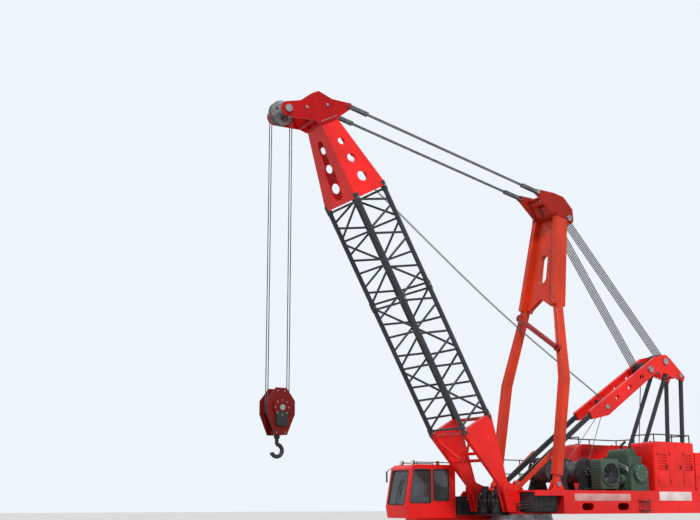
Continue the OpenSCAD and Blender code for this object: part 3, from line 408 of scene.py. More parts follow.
def bar(bm, lo, hi, bevel=0.006, matrix=None):
    """Box between two corners, with bevelled edges."""
    lo, hi = Vector(lo), Vector(hi)
    middle, size = (lo + hi) / 2, hi - lo
    made = bmesh.ops.create_cube(bm, size=1.0)["verts"]
    for v in made:
        v.co = v.co * size + middle
    edges = list({e for v in made for e in v.link_edges})
    width = min(bevel, min(abs(s) for s in size) * 0.45)
    result = bmesh.ops.bevel(bm, geom=edges, offset=width, segments=2, affect="EDGES", profile=0.6)
    if matrix:
        made = {v for f in result["faces"] for v in f.verts} | {v for v in made if v.is_valid}
        for v in made:
            v.co = matrix @ v.co


def frames_along(points, closed=False):
    """Each point of a path, with two directions across the path that don't twist along it."""
    count = len(points)
    normal = None
    for i, p in enumerate(points):
        if closed:
            tangent = points[(i + 1) % count] - points[i - 1]
        else:
            tangent = points[min(i + 1, count - 1)] - points[max(i - 1, 0)]
        tangent.normalize()
        normal = tangent.orthogonal() if normal is None else normal - tangent * normal.dot(tangent)
        normal.normalize()
        yield p, normal, tangent.cross(normal)


def path_tube(bm, points, r, sides=10, closed=False):
    """Round tube along a list of points."""
    points = [Vector(p) for p in points]
    frames = frames_along(points, closed)
    skin(bm, [[p + (u * c + v * s) * r for c, s in circle(sides)] for p, u, v in frames], closed)


def bend(points, steps=8):
    """Points of a smooth curve through a few given points."""
    points = [Vector(p) for p in points]
    ends = [points[0] * 2 - points[1], *points, points[-1] * 2 - points[-2]]
    curve = []
    for a, b, c, d in zip(ends, ends[1:], ends[2:], ends[3:]):
        for k in range(steps):
            t = k / steps
            curve.append(0.5 * ((2 * b) + (c - a) * t + (2 * a - 5 * b + 4 * c - d) * t * t
                                + (3 * b - a - 3 * c + d) * t ** 3))
    curve.append(points[-1])
    return curve


STRANDS = 6
LAY = 0.20
ROPE_STEP = 0.022
GROOVE = 0.80


def twisted(bm, points, r):
    """Wire rope along a list of points, with its strands twisted round its middle."""
    points = [Vector(p) for p in points]
    route = [points[0]]
    for a, b in zip(points, points[1:]):
        n = max(1, round((b - a).length / ROPE_STEP))
        route += [a.lerp(b, (k + 1) / n) for k in range(n)]
    turned = 0.0
    last = route[0]
    rings = []
    for p, u, v in frames_along(route):
        turned += 2 * math.pi * (p - last).length / LAY
        last = p
        ring = []
        for k in range(2 * STRANDS):
            a = turned + math.pi * k / STRANDS
            ring.append(p + (u * math.cos(a) + v * math.sin(a)) * (r * GROOVE if k % 2 else r))
        rings.append(ring)
    skin(bm, rings)


ALONG_X, ALONG_Y, ALONG_Z = (Vector(v) for v in ((1, 0, 0), (0, 1, 0), (0, 0, 1)))
SIDES = (-1, 1)


def bolt(bm, p, axis, size=0.018, height=0.014):
    """Hexagon bolt head on a washer."""
    axis = Vector(axis).normalized()
    rod(bm, p - axis * 0.002, p + axis * 0.004, size * 1.35, 12)
    rod(bm, p + axis * 0.003, p + axis * (0.004 + height), size, 6)


def bolt_circle(bm, centre, axis, radius, count, size=0.018):
    """Bolts in a circle round an axis."""
    axis = Vector(axis).normalized()
    u = axis.orthogonal().normalized()
    v = axis.cross(u)
    for c, s in circle(count):
        bolt(bm, centre + (u * c + v * s) * radius, axis, size)


def cap(bm, p, depth, r, sides=24):
    """Disc that stands out along X from a point."""
    rod(bm, p, p + ALONG_X * depth, r, sides)


def bolted_cap(discs, bolts, p, depth, r, ring_r, count, size, sides=24):
    """Disc that stands out along X from a point, with bolts on its outer face."""
    cap(discs, p, depth, r, sides)
    bolt_circle(bolts, p + ALONG_X * depth, (depth, 0, 0), ring_r, count, size)


# Camera, lights and floor

SKY = (0.86, 0.91, 0.97)
SKY_STRENGTH = 0.62
SUN_FROM = (0.80, -0.42, 0.95)
SUN_STRENGTH = 2.3
SUN_COLOUR = (1.0, 0.97, 0.93)
SUN_ANGLE = math.radians(9.0)
FLOOR_REACH = 150.0
FLOOR_DROP = 0.002


def camera():
    """Camera that frames the crane as the photograph does."""
    data = bpy.data.cameras.new("camera")
    data.lens = CAMERA_LENS
    data.sensor_width = 36.0
    data.shift_y = CAMERA_SHIFT_Y
    data.clip_end = 400.0
    obj = into_scene("camera", data)
    obj.location = at(*CAMERA_AT)
    look = Vector((math.cos(CAMERA_PITCH) * math.cos(CAMERA_YAW),
                   math.cos(CAMERA_PITCH) * math.sin(CAMERA_YAW), math.sin(CAMERA_PITCH)))
    obj.rotation_mode = "QUATERNION"
    obj.rotation_quaternion = look.to_track_quat("-Z", "Y")
    bpy.context.scene.camera = obj


def lights():
    """Soft sun, and a sky that looks brighter to the camera and in gloss than it lights."""
    sun = bpy.data.lights.new("sun", "SUN")
    sun.energy = SUN_STRENGTH
    sun.angle = SUN_ANGLE
    sun.color = SUN_COLOUR
    lamp = into_scene("sun", sun)
    lamp.rotation_mode = "QUATERNION"
    lamp.rotation_quaternion = Vector(SUN_FROM).to_track_quat("Z", "Y")
    world = bpy.data.worlds.new("world")
    bpy.context.scene.world = world
    world.use_nodes = True
    tree = world.node_tree
    tree.nodes.clear()
    path = tree.nodes.new("ShaderNodeLightPath")
    seen = path.outputs["Is Camera Ray"]
    for ray in ("Is Glossy Ray", "Is Transmission Ray"):
        either = tree.nodes.new("ShaderNodeMath")
        either.operation = "MAXIMUM"
        tree.links.new(seen, either.inputs[0])
        tree.links.new(path.outputs[ray], either.inputs[1])
        seen = either.outputs[0]
    mix = tree.nodes.new("ShaderNodeMixShader")
    tree.links.new(seen, mix.inputs[0])
    for index, strength in ((1, SKY_STRENGTH), (2, 1.0)):
        background = tree.nodes.new("ShaderNodeBackground")
        background.inputs["Color"].default_value = (*SKY, 1.0)
        background.inputs["Strength"].default_value = strength
        tree.links.new(background.outputs[0], mix.inputs[index])
    out = tree.nodes.new("ShaderNodeOutputWorld")
    tree.links.new(mix.outputs[0], out.inputs["Surface"])


def floor():
    """Pale ground out to the horizon."""
    g = Graph("floor")
    colour = g.mix(g.ramp(g.noise(0.5, 6.0), 0.3, 0.75), (0.60, 0.59, 0.56), (0.70, 0.69, 0.67))
    g.bump(g.noise(7.0, 8.0), 0.12, 0.01)
    g.finish(colour, 0.85)
    bm = bmesh.new()
    corners = ((-1, -1), (1, -1), (1, 1), (-1, 1))
    bm.faces.new([bm.verts.new((x * FLOOR_REACH, y * FLOOR_REACH, -FLOOR_DROP)) for x, y in corners])
    piece("floor", bm, "floor", body=None)


camera()
lights()
floor()


# Ropes

FALL_X = (-0.06, 0.06)
LUFF_ROPE_R = 0.0155
LEAD_R = 0.011
LEAD_X = {"aux_drum_spin": 0.04, "main_drum_spin": 0.09}
LEAD_SAG = 0.22
ROPE_PARTS = 12
RAISE = -math.radians(20.0)
MAST_RATIO = 1.03
EVEN_SHARE = 0.03
DRUM_HALF = 0.355
DRUM_PITCH = 0.030
DRUM_RIDGE = 0.006


def hoist_falls():
    """Four falls, each in two lengths: one stays with the tip and one with the block as the hook moves."""
    for body, r, name, anchor in (("falls", ROPE_R, "falls_upper", BOOM_TIP),
                                  ("lower_block", ROPE_R * 0.94, "falls_lower", BLOCK)):
        bm = bmesh.new()
        for x in FALL_X:
            for y in (-ROPE_RUN, ROPE_RUN):
                top = Vector((x, BOOM_TIP.y + y, BOOM_TIP.z))
                twisted(bm, [top, (top.x, top.y, BLOCK.z)], r)
        length_of_rope = piece(name, bm, "rope_steel", body)
        if body == "falls":
            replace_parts(length_of_rope, "hoist_falls")
        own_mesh(length_of_rope)


def sheave_turns():
    """Rope over the top of the tip sheaves and under the block's."""
    for body, centre, sign, name in (("falls", BOOM_TIP, 1, "rope_over_tip"),
                                     ("lower_block", BLOCK, -1, "rope_under_block")):
        bm = bmesh.new()
        for x in FALL_X:
            arc = [centre + Vector((x, -ROPE_RUN * math.cos(a), sign * ROPE_RUN * math.sin(a)))
                   for a in (math.pi * k / 32 for k in range(33))]
            path_tube(bm, arc, ROPE_R * 0.95)
        piece(name, bm, "rope_steel", body)


def turned(p, pivot, angle):
    """A point of the y-z plane after a turn about a pivot."""
    return pivot + Matrix.Rotation(angle, 3, "X") @ (p - pivot)


def share_of_turn(p, pivot, start, end, turn):
    """How far a rope's point goes with a body's turn, so that the rope is straight at that turn's end."""
    start = turned(start, pivot, turn)
    along = (end - start).normalized()
    across = Vector((0, -along.z, along.y))
    reach = (start - pivot).dot(across)
    arm, last = p - pivot, end - pivot
    line = math.atan2(across.z, across.y) + math.acos(min(1.0, reach / math.hypot(arm.y, arm.z)))
    angle = max(line, math.atan2(last.z, last.y))
    return min(1.0, max(0.0, (angle - math.atan2(arm.z, arm.y)) / turn))


def rope_between(name, pivot, turn, knots, shifts, r, look):
    """Ropes from a turning body to the upper works, in parts; each part's share of the turn is worked out, but not
    given to it.
    """
    shares = [share_of_turn(p, pivot, knots[0], knots[-1], turn) for p in knots]
    shares[0], shares[-1] = 1.0, 0.0
    for k in range(1, len(knots)):
        shares[k] = min(shares[k], shares[k - 1])
    even = [1 - k / (len(knots) - 1) for k in range(len(knots))]
    shares = [(1 - EVEN_SHARE) * share + EVEN_SHARE * slope for share, slope in zip(shares, even)]
    for k, (a, b) in enumerate(zip(knots, knots[1:])):
        bm = bmesh.new()
        for shift in shifts:
            twisted(bm, [a + shift, b + shift], r)
        part = piece(f"{name}_{k + 1:02d}", bm, look, body=None)
        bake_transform(part)


def tangent(a, b, side, ra, rb):
    """Ends of a line that touches two circles of the y-z plane on the same side."""
    along = (b - a).normalized()
    across = Vector((0, -along.z, along.y)) * side
    return a + across * ra, b + across * rb


def round_pulley(centre, start, end, way):
    """Points on a circle of the y-z plane from one of its points to another."""
    a, b = start - centre, end - centre
    first = math.atan2(a.z, a.y)
    turn = (math.atan2(b.z, b.y) - first) * way % (2 * math.pi) * way
    steps = max(2, round(abs(turn) / 0.13))
    angles = [first + turn * k / steps for k in range(steps + 1)]
    return [centre + Vector((0, math.cos(c), math.sin(c))) * a.length for c in angles]


def luffing_ropes():
    """Ropes round the mast's sheaves and the gantry's two packs, and down to the luffing drum."""
    mast, top, second = on_mast(0, *MAST_SHEAVE), at(0, *GANTRY_TOP), at(0, *GANTRY_SECOND)
    upper = tangent(mast, top, 1, LUFF_RUN, LUFF_RUN)
    lower = tangent(mast, second, -1, LUFF_RUN, LUFF_RUN)
    link = tangent(second, top, -1, LUFF_RUN, LUFF_RUN)
    lead = tangent(second, pivot_of("luff_drum_spin"), -1, LUFF_RUN, DRUM_ROPE_R)
    shifts = [ALONG_X * x for x in LUFF_X]
    turn = RAISE * MAST_RATIO
    for name, (near, far) in (("luffing_ropes_upper", upper), ("luffing_ropes_lower", lower)):
        knots = [near.lerp(far, k / ROPE_PARTS) for k in range(ROPE_PARTS + 1)]
        rope_between(name, MAST_FOOT, turn, knots, shifts, LUFF_ROPE_R, "shaded_rope")
    at_mast, at_gantry = meshes(2)
    over_mast = round_pulley(mast, upper[0], lower[0], 1)
    round_both = round_pulley(second, lower[1], link[0], 1) + round_pulley(top, link[1], upper[1], 1)
    for shift in shifts:
        path_tube(at_mast, [p + shift for p in over_mast], LUFF_ROPE_R * 0.95, 8)
        path_tube(at_gantry, [p + shift for p in round_both], LUFF_ROPE_R * 0.95, 8)
    twisted(at_gantry, [p + shifts[-1] for p in lead], LUFF_ROPE_R)
    piece("luffing_turns_mast", at_mast, "shaded_rope", "live_mast")
    piece("luffing_turns_gantry", at_gantry, "shaded_rope")


def hoist_lead():
    """Hoist ropes from the boom's back, over the gantry's roller, to the drums."""
    start = on_boom(0, 0.60, 9.15)
    end = at(0, ROLLER[0], ROLLER[1] + ROLLER_R + LEAD_R)
    middle = start.lerp(end, 0.52) - ALONG_Z * LEAD_SAG
    knots = bend([start, middle, end], ROPE_PARTS // 2)
    shifts = [ALONG_X * x for x in LEAD_X.values()]
    rope_between("hoist_lead", BOOM_FOOT, RAISE, knots, shifts, LEAD_R, "rope_steel")
    led = bmesh.new()
    for joint, x in LEAD_X.items():
        over = at(x, ROLLER[0] + 0.05, ROLLER[1] + 0.025)
        drum = pivot_of(joint) + ALONG_X * x
        down = (drum - over).normalized()
        reach = drum + Vector((0, -down.z, down.y)) * DRUM_ROPE_R
        twisted(led, [end + ALONG_X * x, over, reach], LEAD_R)
    piece("hoist_lead_down", led, "rope_steel")


def drum_rope():
    """Rope wound on each drum, one ridge a turn."""
    for body, joint in (("main_winch", "main_drum_spin"), ("aux_winch", "aux_drum_spin"),
                        ("luff_winch", "luff_drum_spin")):
        centre = pivot_of(joint)
        rings = []
        for i in range(4 * int(2 * DRUM_HALF / DRUM_PITCH) + 1):
            x = -DRUM_HALF + i * DRUM_PITCH / 4
            r = DRUM_ROPE_R - DRUM_RIDGE * math.cos(2 * math.pi * i / 4)
            rings.append([centre + Vector((x, r * c, r * s)) for c, s in circle(40)])
        bm = bmesh.new()
        skin(bm, rings)
        piece(body + "_rope", bm, "rope_steel", body, smooth=80.0)


hoist_falls()
sheave_turns()
luffing_ropes()
hoist_lead()
drum_rope()


# Tracks and base

HUB_FACE = TRACK_MIDDLE + 0.235
ROLLER_SPAN = 2 * TRACK_HALF_RUN - 1.0
ROLLER_Z = 0.2403
ROLLER_COUNT = 8
SLEW_BOLTS_Z = 1.175
SLEW_BOLTS_R = 0.855


def shoe_places():
    """Middle and outward direction of each shoe, in the plane of one track, as the loop has them."""
    run_count = round(2 * TRACK_HALF_RUN / SHOE_PITCH)
    run_pitch = 2 * TRACK_HALF_RUN / run_count
    band = TRACK_END_R - TRACK_SHOE_T
    end_count = round(math.pi * band / SHOE_PITCH)
    places = []
    for i in range(run_count):
        y = -TRACK_HALF_RUN + (i + 0.5) * run_pitch
        places += [((y, -TRACK_END_R), (0, -1)), ((y, TRACK_END_R), (0, 1))]
    for s in SIDES:
        for i in range(end_count):
            a = -math.pi / 2 * s + (i + 0.5) * math.pi / end_count
            c, n = math.cos(a), math.sin(a)
            places.append(((s * TRACK_HALF_RUN + TRACK_END_R * c, TRACK_END_R * n), (c, n)))
    return places


def track_details():
    """Bolt heads and link pins under each shoe."""
    for side, word in ((-1, "right"), (1, "left")):
        bolts, links = meshes(2)
        for (y, z), (ny, nz) in shoe_places():
            out = Vector((0, ny, nz))
            along = Vector((0, -nz, ny))
            middle = at(side * TRACK_MIDDLE, y, z + TRACK_END_R)
            for x in (-0.13, 0.13):
                for t in (-0.045, 0.045):
                    spot = middle + ALONG_X * x + along * t - out * 0.022
                    rod(bolts, spot, spot + out * 0.021, 0.017, 6)
            for x in (-0.405, 0.405):
                start = middle - out * 0.075 + ALONG_X * x
                rod(links, start - ALONG_X * 0.006, start + ALONG_X * 0.006, 0.026, 10)
        piece("shoe_bolts_" + word, bolts, "steel", "crawler")
        piece("link_pins_" + word, links, "steel", "crawler")


def base_details():
    """Bolted covers on the wheels' hubs, ribs on the track frames, and the slewing ring's bolts."""
    bolts, covers, ring = meshes(3)
    for side in SIDES:
        face = side * HUB_FACE
        for s in SIDES:
            hub = at(face, s * TRACK_HALF_RUN, TRACK_END_R)
            bolted_cap(covers, bolts, hub, side * 0.03, 0.135, 0.105, 8, 0.014, 28)
        for i in range(ROLLER_COUNT):
            hub = at(face, -ROLLER_SPAN / 2 + i * ROLLER_SPAN / (ROLLER_COUNT - 1), ROLLER_Z)
            bolted_cap(covers, bolts, hub, side * 0.022, 0.060, 0.040, 4, 0.008, 18)
        for i in range(7):
            rib = at(face, -1.9 + i * 0.62, 0.40)
            upper = rib + Vector((side * 0.016, 0.012, 0.28))
            bar(covers, rib - Vector((side * 0.002, 0.012, 0)), upper, 0.004)
    bolt_circle(ring, at(0, 0, SLEW_BOLTS_Z), (0, 0, 1), SLEW_BOLTS_R, 44, 0.016)
    piece("hub_covers", covers, "red_paint", "crawler")
    piece("base_bolts", bolts, "steel", "crawler")
    piece("slew_ring_bolts", ring, "galvanised", "crawler")


track_details()
base_details()


# Deck and houses

HOUSES = ((1, HOUSE_FRONT_LEFT), (-1, HOUSE_FRONT_RIGHT))
PANEL_T = 0.008
RAIL_R = 0.019
RAIL_LIFT = 0.25
RAIL_INSET = 0.10
HATCH_X = 1.11


def deck_highlight_strips():
    """Pale strips along the upper part of the deck's sides: painted highlight."""
    for name, look, y0, y1, z0, z1 in (("front_strips", "pink_highlight", 0.55, 2.75, 1.66, 1.86),
                                       ("rear_strips", "pale_highlight", 3.95, 5.35, 1.67, 1.93)):
        bm = bmesh.new()
        for side in SIDES:
            x0, x1 = sorted((side * DECK_HALF, side * (DECK_HALF + 0.006)))
            bar(bm, at(x0, y0, z0), at(x1, y1, z1), 0.003)
        piece(name, bm, look)


def house_doors():
    """Raised door panels with hinges, handles and grille slats on each house's side."""
    panels, metal, slats = meshes(3)
    for side, front in HOUSES:
        length = DECK_REAR - front
        edges = (front + 0.06, front + length * 0.34, front + length * 0.68, DECK_REAR - 0.05)
        face = side * DECK_HALF
        x0, x1 = sorted((face, face + side * PANEL_T))
        for y0, y1 in zip(edges, edges[1:]):
            bar(panels, at(x0, y0 + 0.03, DECK_TOP + 0.12), at(x1, y1 - 0.03, DECK_TOP + 0.55), 0.004)
            for z in (0.30, 1.10):
                p = at(face + side * 0.010, y0 + 0.035, DECK_TOP + z)
                rod(metal, p - ALONG_Z * 0.05, p + ALONG_Z * 0.05, 0.011, 10)
            handle = at(face + side * 0.022, y1 - 0.11, DECK_TOP + 0.72)
            half = Vector((0.012, 0.015, 0.06))
            bar(metal, handle - half, handle + half, 0.006)
        for y0, y1 in (edges[:2], edges[2:]):
            half_slat = Vector((0.014, (y1 - y0) / 2 - 0.08, 0.003))
            for i in range(6):
                middle = at(face - side * 0.012, (y0 + y1) / 2, DECK_TOP + 0.64 + i * 0.085)
                tilt = Matrix.Translation(middle) @ Matrix.Rotation(side * math.radians(32), 4, "Y")
                bar(slats, -half_slat, half_slat, 0.001, tilt)
    piece("house_panels", panels, "red_paint")
    piece("house_hinges", metal, "black_paint")
    piece("house_slats", slats, "red_paint")


def handrails():
    """Low rails round the houses' roofs, and a rail with a knee rail on the deck's right edge."""
    bm = bmesh.new()
    lift = ALONG_Z * RAIL_LIFT
    foot = HOUSE_TOP - 0.02
    for side, front in HOUSES:
        x0, x1 = side * (0.62 + RAIL_INSET), side * (DECK_HALF - RAIL_INSET)
        y0, y1 = front + RAIL_INSET, DECK_REAR - RAIL_INSET
        corners = [at(x0, y0, foot), at(x1, y0, foot), at(x1, y1, foot), at(x0, y1, foot)]
        for p, q in zip(corners, corners[1:]):
            rod(bm, p + lift, q + lift, RAIL_R, 10)
        for p in corners + [at(x1, (y0 + y1) / 2, foot)]:
            rod(bm, p, p + lift, RAIL_R, 10)
    posts = [at(-1.52, y, DECK_TOP) for y in (0.55, 1.3, 2.05, 2.8)]
    for height in (0.95, 0.95 * 0.55):
        for p, q in zip(posts, posts[1:]):
            rod(bm, p + ALONG_Z * height, q + ALONG_Z * height, 0.017, 10)
    for p in posts:
        rod(bm, p, p + ALONG_Z * 0.95, 0.017, 10)
    piece("roof_rails", bm, "black_paint")


def side_steps():
    """Boarding steps on both sides of the deck."""
    bm = bmesh.new()
    for side in SIDES:
        face = side * DECK_HALF
        x0, x1 = sorted((face + side * 0.005, face + side * 0.165))
        for z in (1.38, 1.64):
            bar(bm, at(x0, 3.08, z), at(x1, 3.52, z + 0.028), 0.005)
        for y in (3.09, 3.51):
            bar(bm, at(face - 0.004, y - 0.012, 1.34), at(face + 0.004, y + 0.012, 1.72), 0.003)
    piece("side_steps", bm, "black_paint")


def roof_details():
    """Hatches with handles on the houses, lifting eyes on the counterweights, and rear lamps."""
    red, dark = meshes(2)
    for side, front in HOUSES:
        for y in (front + 0.55, DECK_REAR - 0.55):
            middle = at(side * HATCH_X, y, HOUSE_TOP)
            bar(red, middle + Vector((-0.28, -0.25, -0.01)), middle + Vector((0.28, 0.25, 0.03)), 0.012)
            bar(dark, middle + Vector((-0.04, -0.19, 0.03)), middle + Vector((0.04, -0.16, 0.055)), 0.006)
    for side in SIDES:
        for y in (5.95, 6.55):
            p = at(side * 1.08, y, 3.09)
            arc = circle(24)[:13]
            path_tube(dark, [p + Vector((0, 0.085 * c, 0.11 * s)) for c, s in arc], 0.018)
        lamp = at(side * 1.3, 6.80, 2.4)
        rod(dark, lamp, lamp + ALONG_Y * 0.06, 0.075, 20)
    piece("roof_hatches", red, "red_paint")
    piece("lifting_eyes", dark, "black_paint")


def hoses():
    """Hydraulic hoses from the power unit to the winches and forward along the deck."""
    bm, fittings = meshes(2)
    ports = ((0.36, 2.81, 2.36), (0.46, 2.81, 2.28), (0.56, 2.81, 2.20),
             (1.02, 2.83, 2.34), (1.14, 2.83, 2.24))
    for i, port in enumerate(ports):
        start = at(*port)
        target = at(0.50 + 0.03 * (i % 3), 2.42 - 0.10 * i, 2.02)
        out = start + Vector((0, -0.16, -0.02))
        slack = (start + target) / 2 + Vector((0, -0.06, -0.10))
        path_tube(bm, bend([start, out, slack, target]), 0.016)
        rod(fittings, start + ALONG_Y * 0.03, start - ALONG_Y * 0.05, 0.024, 6)
    for i in range(4):
        x = -0.95 + i * 0.09
        path_tube(bm, bend([at(x, 2.6, 2.0), at(x, 2.1, 1.99), at(x * 0.8, 1.4, 2.0),
                            at(-0.52, 1.05 + i * 0.05, 2.15)]), 0.016)
    piece("hoses", bm, "rubber")
    piece("hose_fittings", fittings, "galvanised")


def power_unit_details():
    """Ribs, filler caps, bolts and pipes on the power unit."""
    green, metal = meshes(2)
    for i in range(8):
        x = 0.24 + i * 0.155
        bar(green, at(x, 3.715, 2.0), at(x + 0.03, 3.74, 2.5), 0.006)
        bar(green, at(x, 2.985, 2.02), at(x + 0.022, 3.002, 2.10), 0.004)
    for x in (0.45, 0.75, 1.05):
        rod(green, at(x, 3.18, 2.98), at(x, 3.18, 3.06), 0.05, 18)
    for x, y, r in ((0.48, 2.81, 0.15), (1.09, 2.84, 0.12)):
        bolt_circle(metal, at(x, y, 2.28), (0, -1, 0), r, 8, 0.013)
    bolt_circle(metal, at(1.51, 3.36, 2.47), (1, 0, 0), 0.20, 10, 0.014)
    pipe = ((1.3, 3.0, 2.45), (1.34, 2.94, 2.55), (1.1, 2.93, 2.66), (0.7, 2.96, 2.66), (0.5, 3.02, 2.62))
    for dz in (0.0, 0.07):
        path_tube(metal, bend([at(x, y, z + dz) for x, y, z in pipe]), 0.018)
    piece("power_unit_ribs", green, "green_paint")
    piece("power_unit_pipes", metal, "galvanised")


COOLER_LOW, COOLER_HIGH = (0.80, 2.00, 2.00), (1.22, 2.72, 2.86)
GUARD_R = 0.325


def oil_cooler():
    """Cooler before the power unit, with a fan behind a ring guard on its outer side."""
    (x0, y0, z0), (x1, y1, z1) = COOLER_LOW, COOLER_HIGH
    green, dark, metal, pipes = meshes(4)
    bar(green, at(x0, y0, z0), at(x1, y1, z1), 0.030)
    for y in (y0 + 0.06, y1 - 0.10):
        bar(green, at(x0 + 0.02, y, DECK_TOP), at(x1 - 0.02, y + 0.04, z0 + 0.01), 0.004)
    for k in range(9):
        z = z0 + 0.10 + 0.082 * k
        bar(green, at(x0 + 0.05, y0 - 0.010, z), at(x1 - 0.05, y0 + 0.004, z + 0.030), 0.004)
    hub = at(x1, (y0 + y1) / 2, (z0 + z1) / 2)
    front = hub + ALONG_X * 0.066
    spokes = [Vector((0, c, s)) for c, s in circle(40)]
    path_tube(green, [hub + ALONG_X * 0.02 + c * GUARD_R for c in spokes], 0.030, closed=True)
    rod(dark, hub - ALONG_X * 0.01, hub + ALONG_X * 0.006, 0.315, 40)
    cap(metal, hub + ALONG_X * 0.004, 0.041, 0.060)
    for k in range(8):
        blade = Matrix.Translation(hub + ALONG_X * 0.022) @ Matrix.Rotation(2 * math.pi * k / 8, 4, "X")
        blade = blade @ Matrix.Rotation(math.radians(28), 4, "Y")
        bar(metal, (-0.004, 0.055, -0.055), (0.004, 0.285, 0.055), 0.003, blade)
    for r in (0.10, 0.155, 0.21, 0.265):
        path_tube(dark, [front + c * r for c in spokes], 0.006, 6, closed=True)
    for c in spokes[::5]:
        rod(dark, front + c * 0.06, hub + ALONG_X * 0.062 + c * GUARD_R, 0.007, 6)
    for z in (z0 + 0.18, z1 - 0.16):
        start = at(x0 + 0.16, y1 - 0.01, z)
        path_tube(pipes, bend([start, start + Vector((0, 0.12, 0.02)), at(x0 + 0.12, 3.02, z + 0.05)]), 0.030)
    piece("cooler_housing", green, "green_paint")
    piece("cooler_guard", dark, "black_paint")
    piece("cooler_fan", metal, "greased_iron")
    piece("cooler_pipes", pipes, "rubber")


DRIVE_X, DRIVE_Y = 0.27, -1.10
DRIVE_PROFILE = ((1.30, 1.62, 0.185), (1.60, 1.68, 0.215), (1.66, 1.98, 0.135), (1.96, 2.07, 0.105))
BOX_X0, BOX_X1 = -1.036, -0.850
TANK_LOW, TANK_HIGH = (0.62, -0.80, 1.36), (1.46, 0.06, 1.902)


def slewing_drives(dark, metal, pipes):
    """Two drives with cooling ribs on a bracket before the deck."""
    # The drives are black to give a dark mass where shade falls before the deck: painted shade on real parts
    for x in (-DRIVE_X, DRIVE_X):
        for z0, z1, r in DRIVE_PROFILE:
            rod(dark, at(x, DRIVE_Y, z0), at(x, DRIVE_Y, z1), r, 28)
        bolt_circle(metal, at(x, DRIVE_Y, 1.68), (0, 0, 1), 0.185, 12, 0.012)
        for c, s in circle(10):
            foot = at(x + 0.15 * c, DRIVE_Y + 0.15 * s, 1.69)
            rod(dark, foot, at(x + 0.137 * c, DRIVE_Y + 0.137 * s, 1.88), 0.010, 6)
        rod(metal, at(x, DRIVE_Y, 1.84), at(x, -1.28, 1.84), 0.042, 8)
        for dx in (-0.045, 0.045):
            route = ((x + dx, -1.27, 1.84), (x + dx, -1.36, 1.80), (x + dx * 2, -1.33, 1.55),
                     (x * 0.5 + dx, -1.16, 1.40), (x * 0.3 + dx, -0.93, 1.42))
            path_tube(pipes, bend([at(*p) for p in route]), 0.017, 8)
    bar(dark, at(-0.50, -1.32, 1.255), at(0.50, -0.88, 1.302), 0.008)
    for x in (-0.44, 0.44):
        bar(dark, at(x - 0.02, -1.26, 1.30), at(x + 0.02, -0.88, 1.52), 0.006)


def valve_bank(dark, metal, pipes):
    """Hydraulic valves with levers between the drives and the deck."""
    # The valve bank is black for the same painted shade
    bar(dark, at(-0.24, -0.99, 1.72), at(0.24, -0.88, 1.90), 0.012)
    for k in range(6):
        x = -0.19 + 0.076 * k
        rod(metal, at(x, -0.99, 1.81), at(x, -1.03, 1.81), 0.020, 6)
        rod(dark, at(x, -0.94, 1.90), at(x, -0.94, 1.95), 0.016)
        path_tube(pipes, bend([at(x, -1.02, 1.81), at(x, -1.08, 1.79), at(x * 0.7, -1.04, 1.66),
                               at(x * 0.5, -0.90, 1.60)], 6), 0.013, 8)


def box_by_cab(dark, metal):
    """Box with a lid, louvres and a handle between the cab and the boom's foot."""
    # This black box fills the shade between the cab and the boom's foot: painted shade
    bar(dark, at(BOX_X0, -1.62, 1.26), at(BOX_X1, -0.89, 1.76), 0.012)
    bar(dark, at(BOX_X0, -1.635, 1.755), at(BOX_X1 + 0.015, -0.885, 1.79), 0.008)
    for k in range(9):
        y = -1.56 + 0.07 * k
        bar(dark, at(BOX_X1 - 0.002, y, 1.36), at(BOX_X1 + 0.010, y + 0.03, 1.60), 0.003)
    handle = ((0, -1.32), (0.03, -1.30), (0.03, -1.20), (0, -1.18))
    path_tube(metal, [at(BOX_X1 + out, y, 1.70) for out, y in handle], 0.008, 8)


def front_machinery():
    """Slewing drives, valve bank and box before the deck, a tank in its front bay, and their hoses."""
    dark, metal, pipes, tank = meshes(4)
    slewing_drives(dark, metal, pipes)
    valve_bank(dark, metal, pipes)
    box_by_cab(dark, metal)
    bar(tank, at(*TANK_LOW), at(*TANK_HIGH), 0.035)
    for y in (-0.62, -0.14):
        bar(tank, at(1.452, y - 0.03, TANK_LOW[2]), at(1.474, y + 0.03, TANK_HIGH[2]), 0.004)
    for k in range(7):
        bar(tank, at(1.455, -0.55 + 0.05 * k, 1.48), at(1.468, -0.53 + 0.05 * k, 1.72), 0.003)
    rod(tank, at(1.46, -0.02, 1.50), at(1.50, -0.02, 1.50), 0.035, 16)
    for k, z in enumerate((1.44, 1.52, 1.60)):
        path_tube(pipes, bend([at(0.50, -0.895 - 0.02 * k, z), at(0.75, -0.93 - 0.01 * k, z - 0.03),
                               at(1.10, -0.90, z + 0.02), at(1.32, -0.79, z + 0.05)]), 0.018, 8)
    piece("slewing_drives", dark, "black_paint")
    piece("slewing_bolts", metal, "galvanised")
    piece("front_tank", tank, "black_paint")
    piece("front_hoses", pipes, "rubber")


def winch_details():
    """Bearing covers, feet and bolts on the drum frames."""
    bolts, gears = meshes(2)
    for joint in ("main_drum_spin", "aux_drum_spin", "luff_drum_spin"):
        for side in SIDES:
            face = pivot_of(joint) + ALONG_X * (side * 0.475)
            for dy in (-0.30, -0.15, 0.15, 0.30):
                bolt(bolts, face + Vector((side * 0.03, dy, -0.545)), (0, 0, 1), 0.016)
            bolted_cap(gears, bolts, face, side * 0.035, 0.125, 0.10, 8, 0.011)
            bar(gears, face + Vector((-0.02, -0.36, -0.56)), face + Vector((0.05, 0.36, -0.535)), 0.004)
    piece("winch_bolts", bolts, "galvanised")
    piece("winch_covers", gears, "black_paint")


deck_highlight_strips()
house_doors()
handrails()
side_steps()
roof_details()
hoses()
power_unit_details()
oil_cooler()
winch_details()
front_machinery()


# Cab

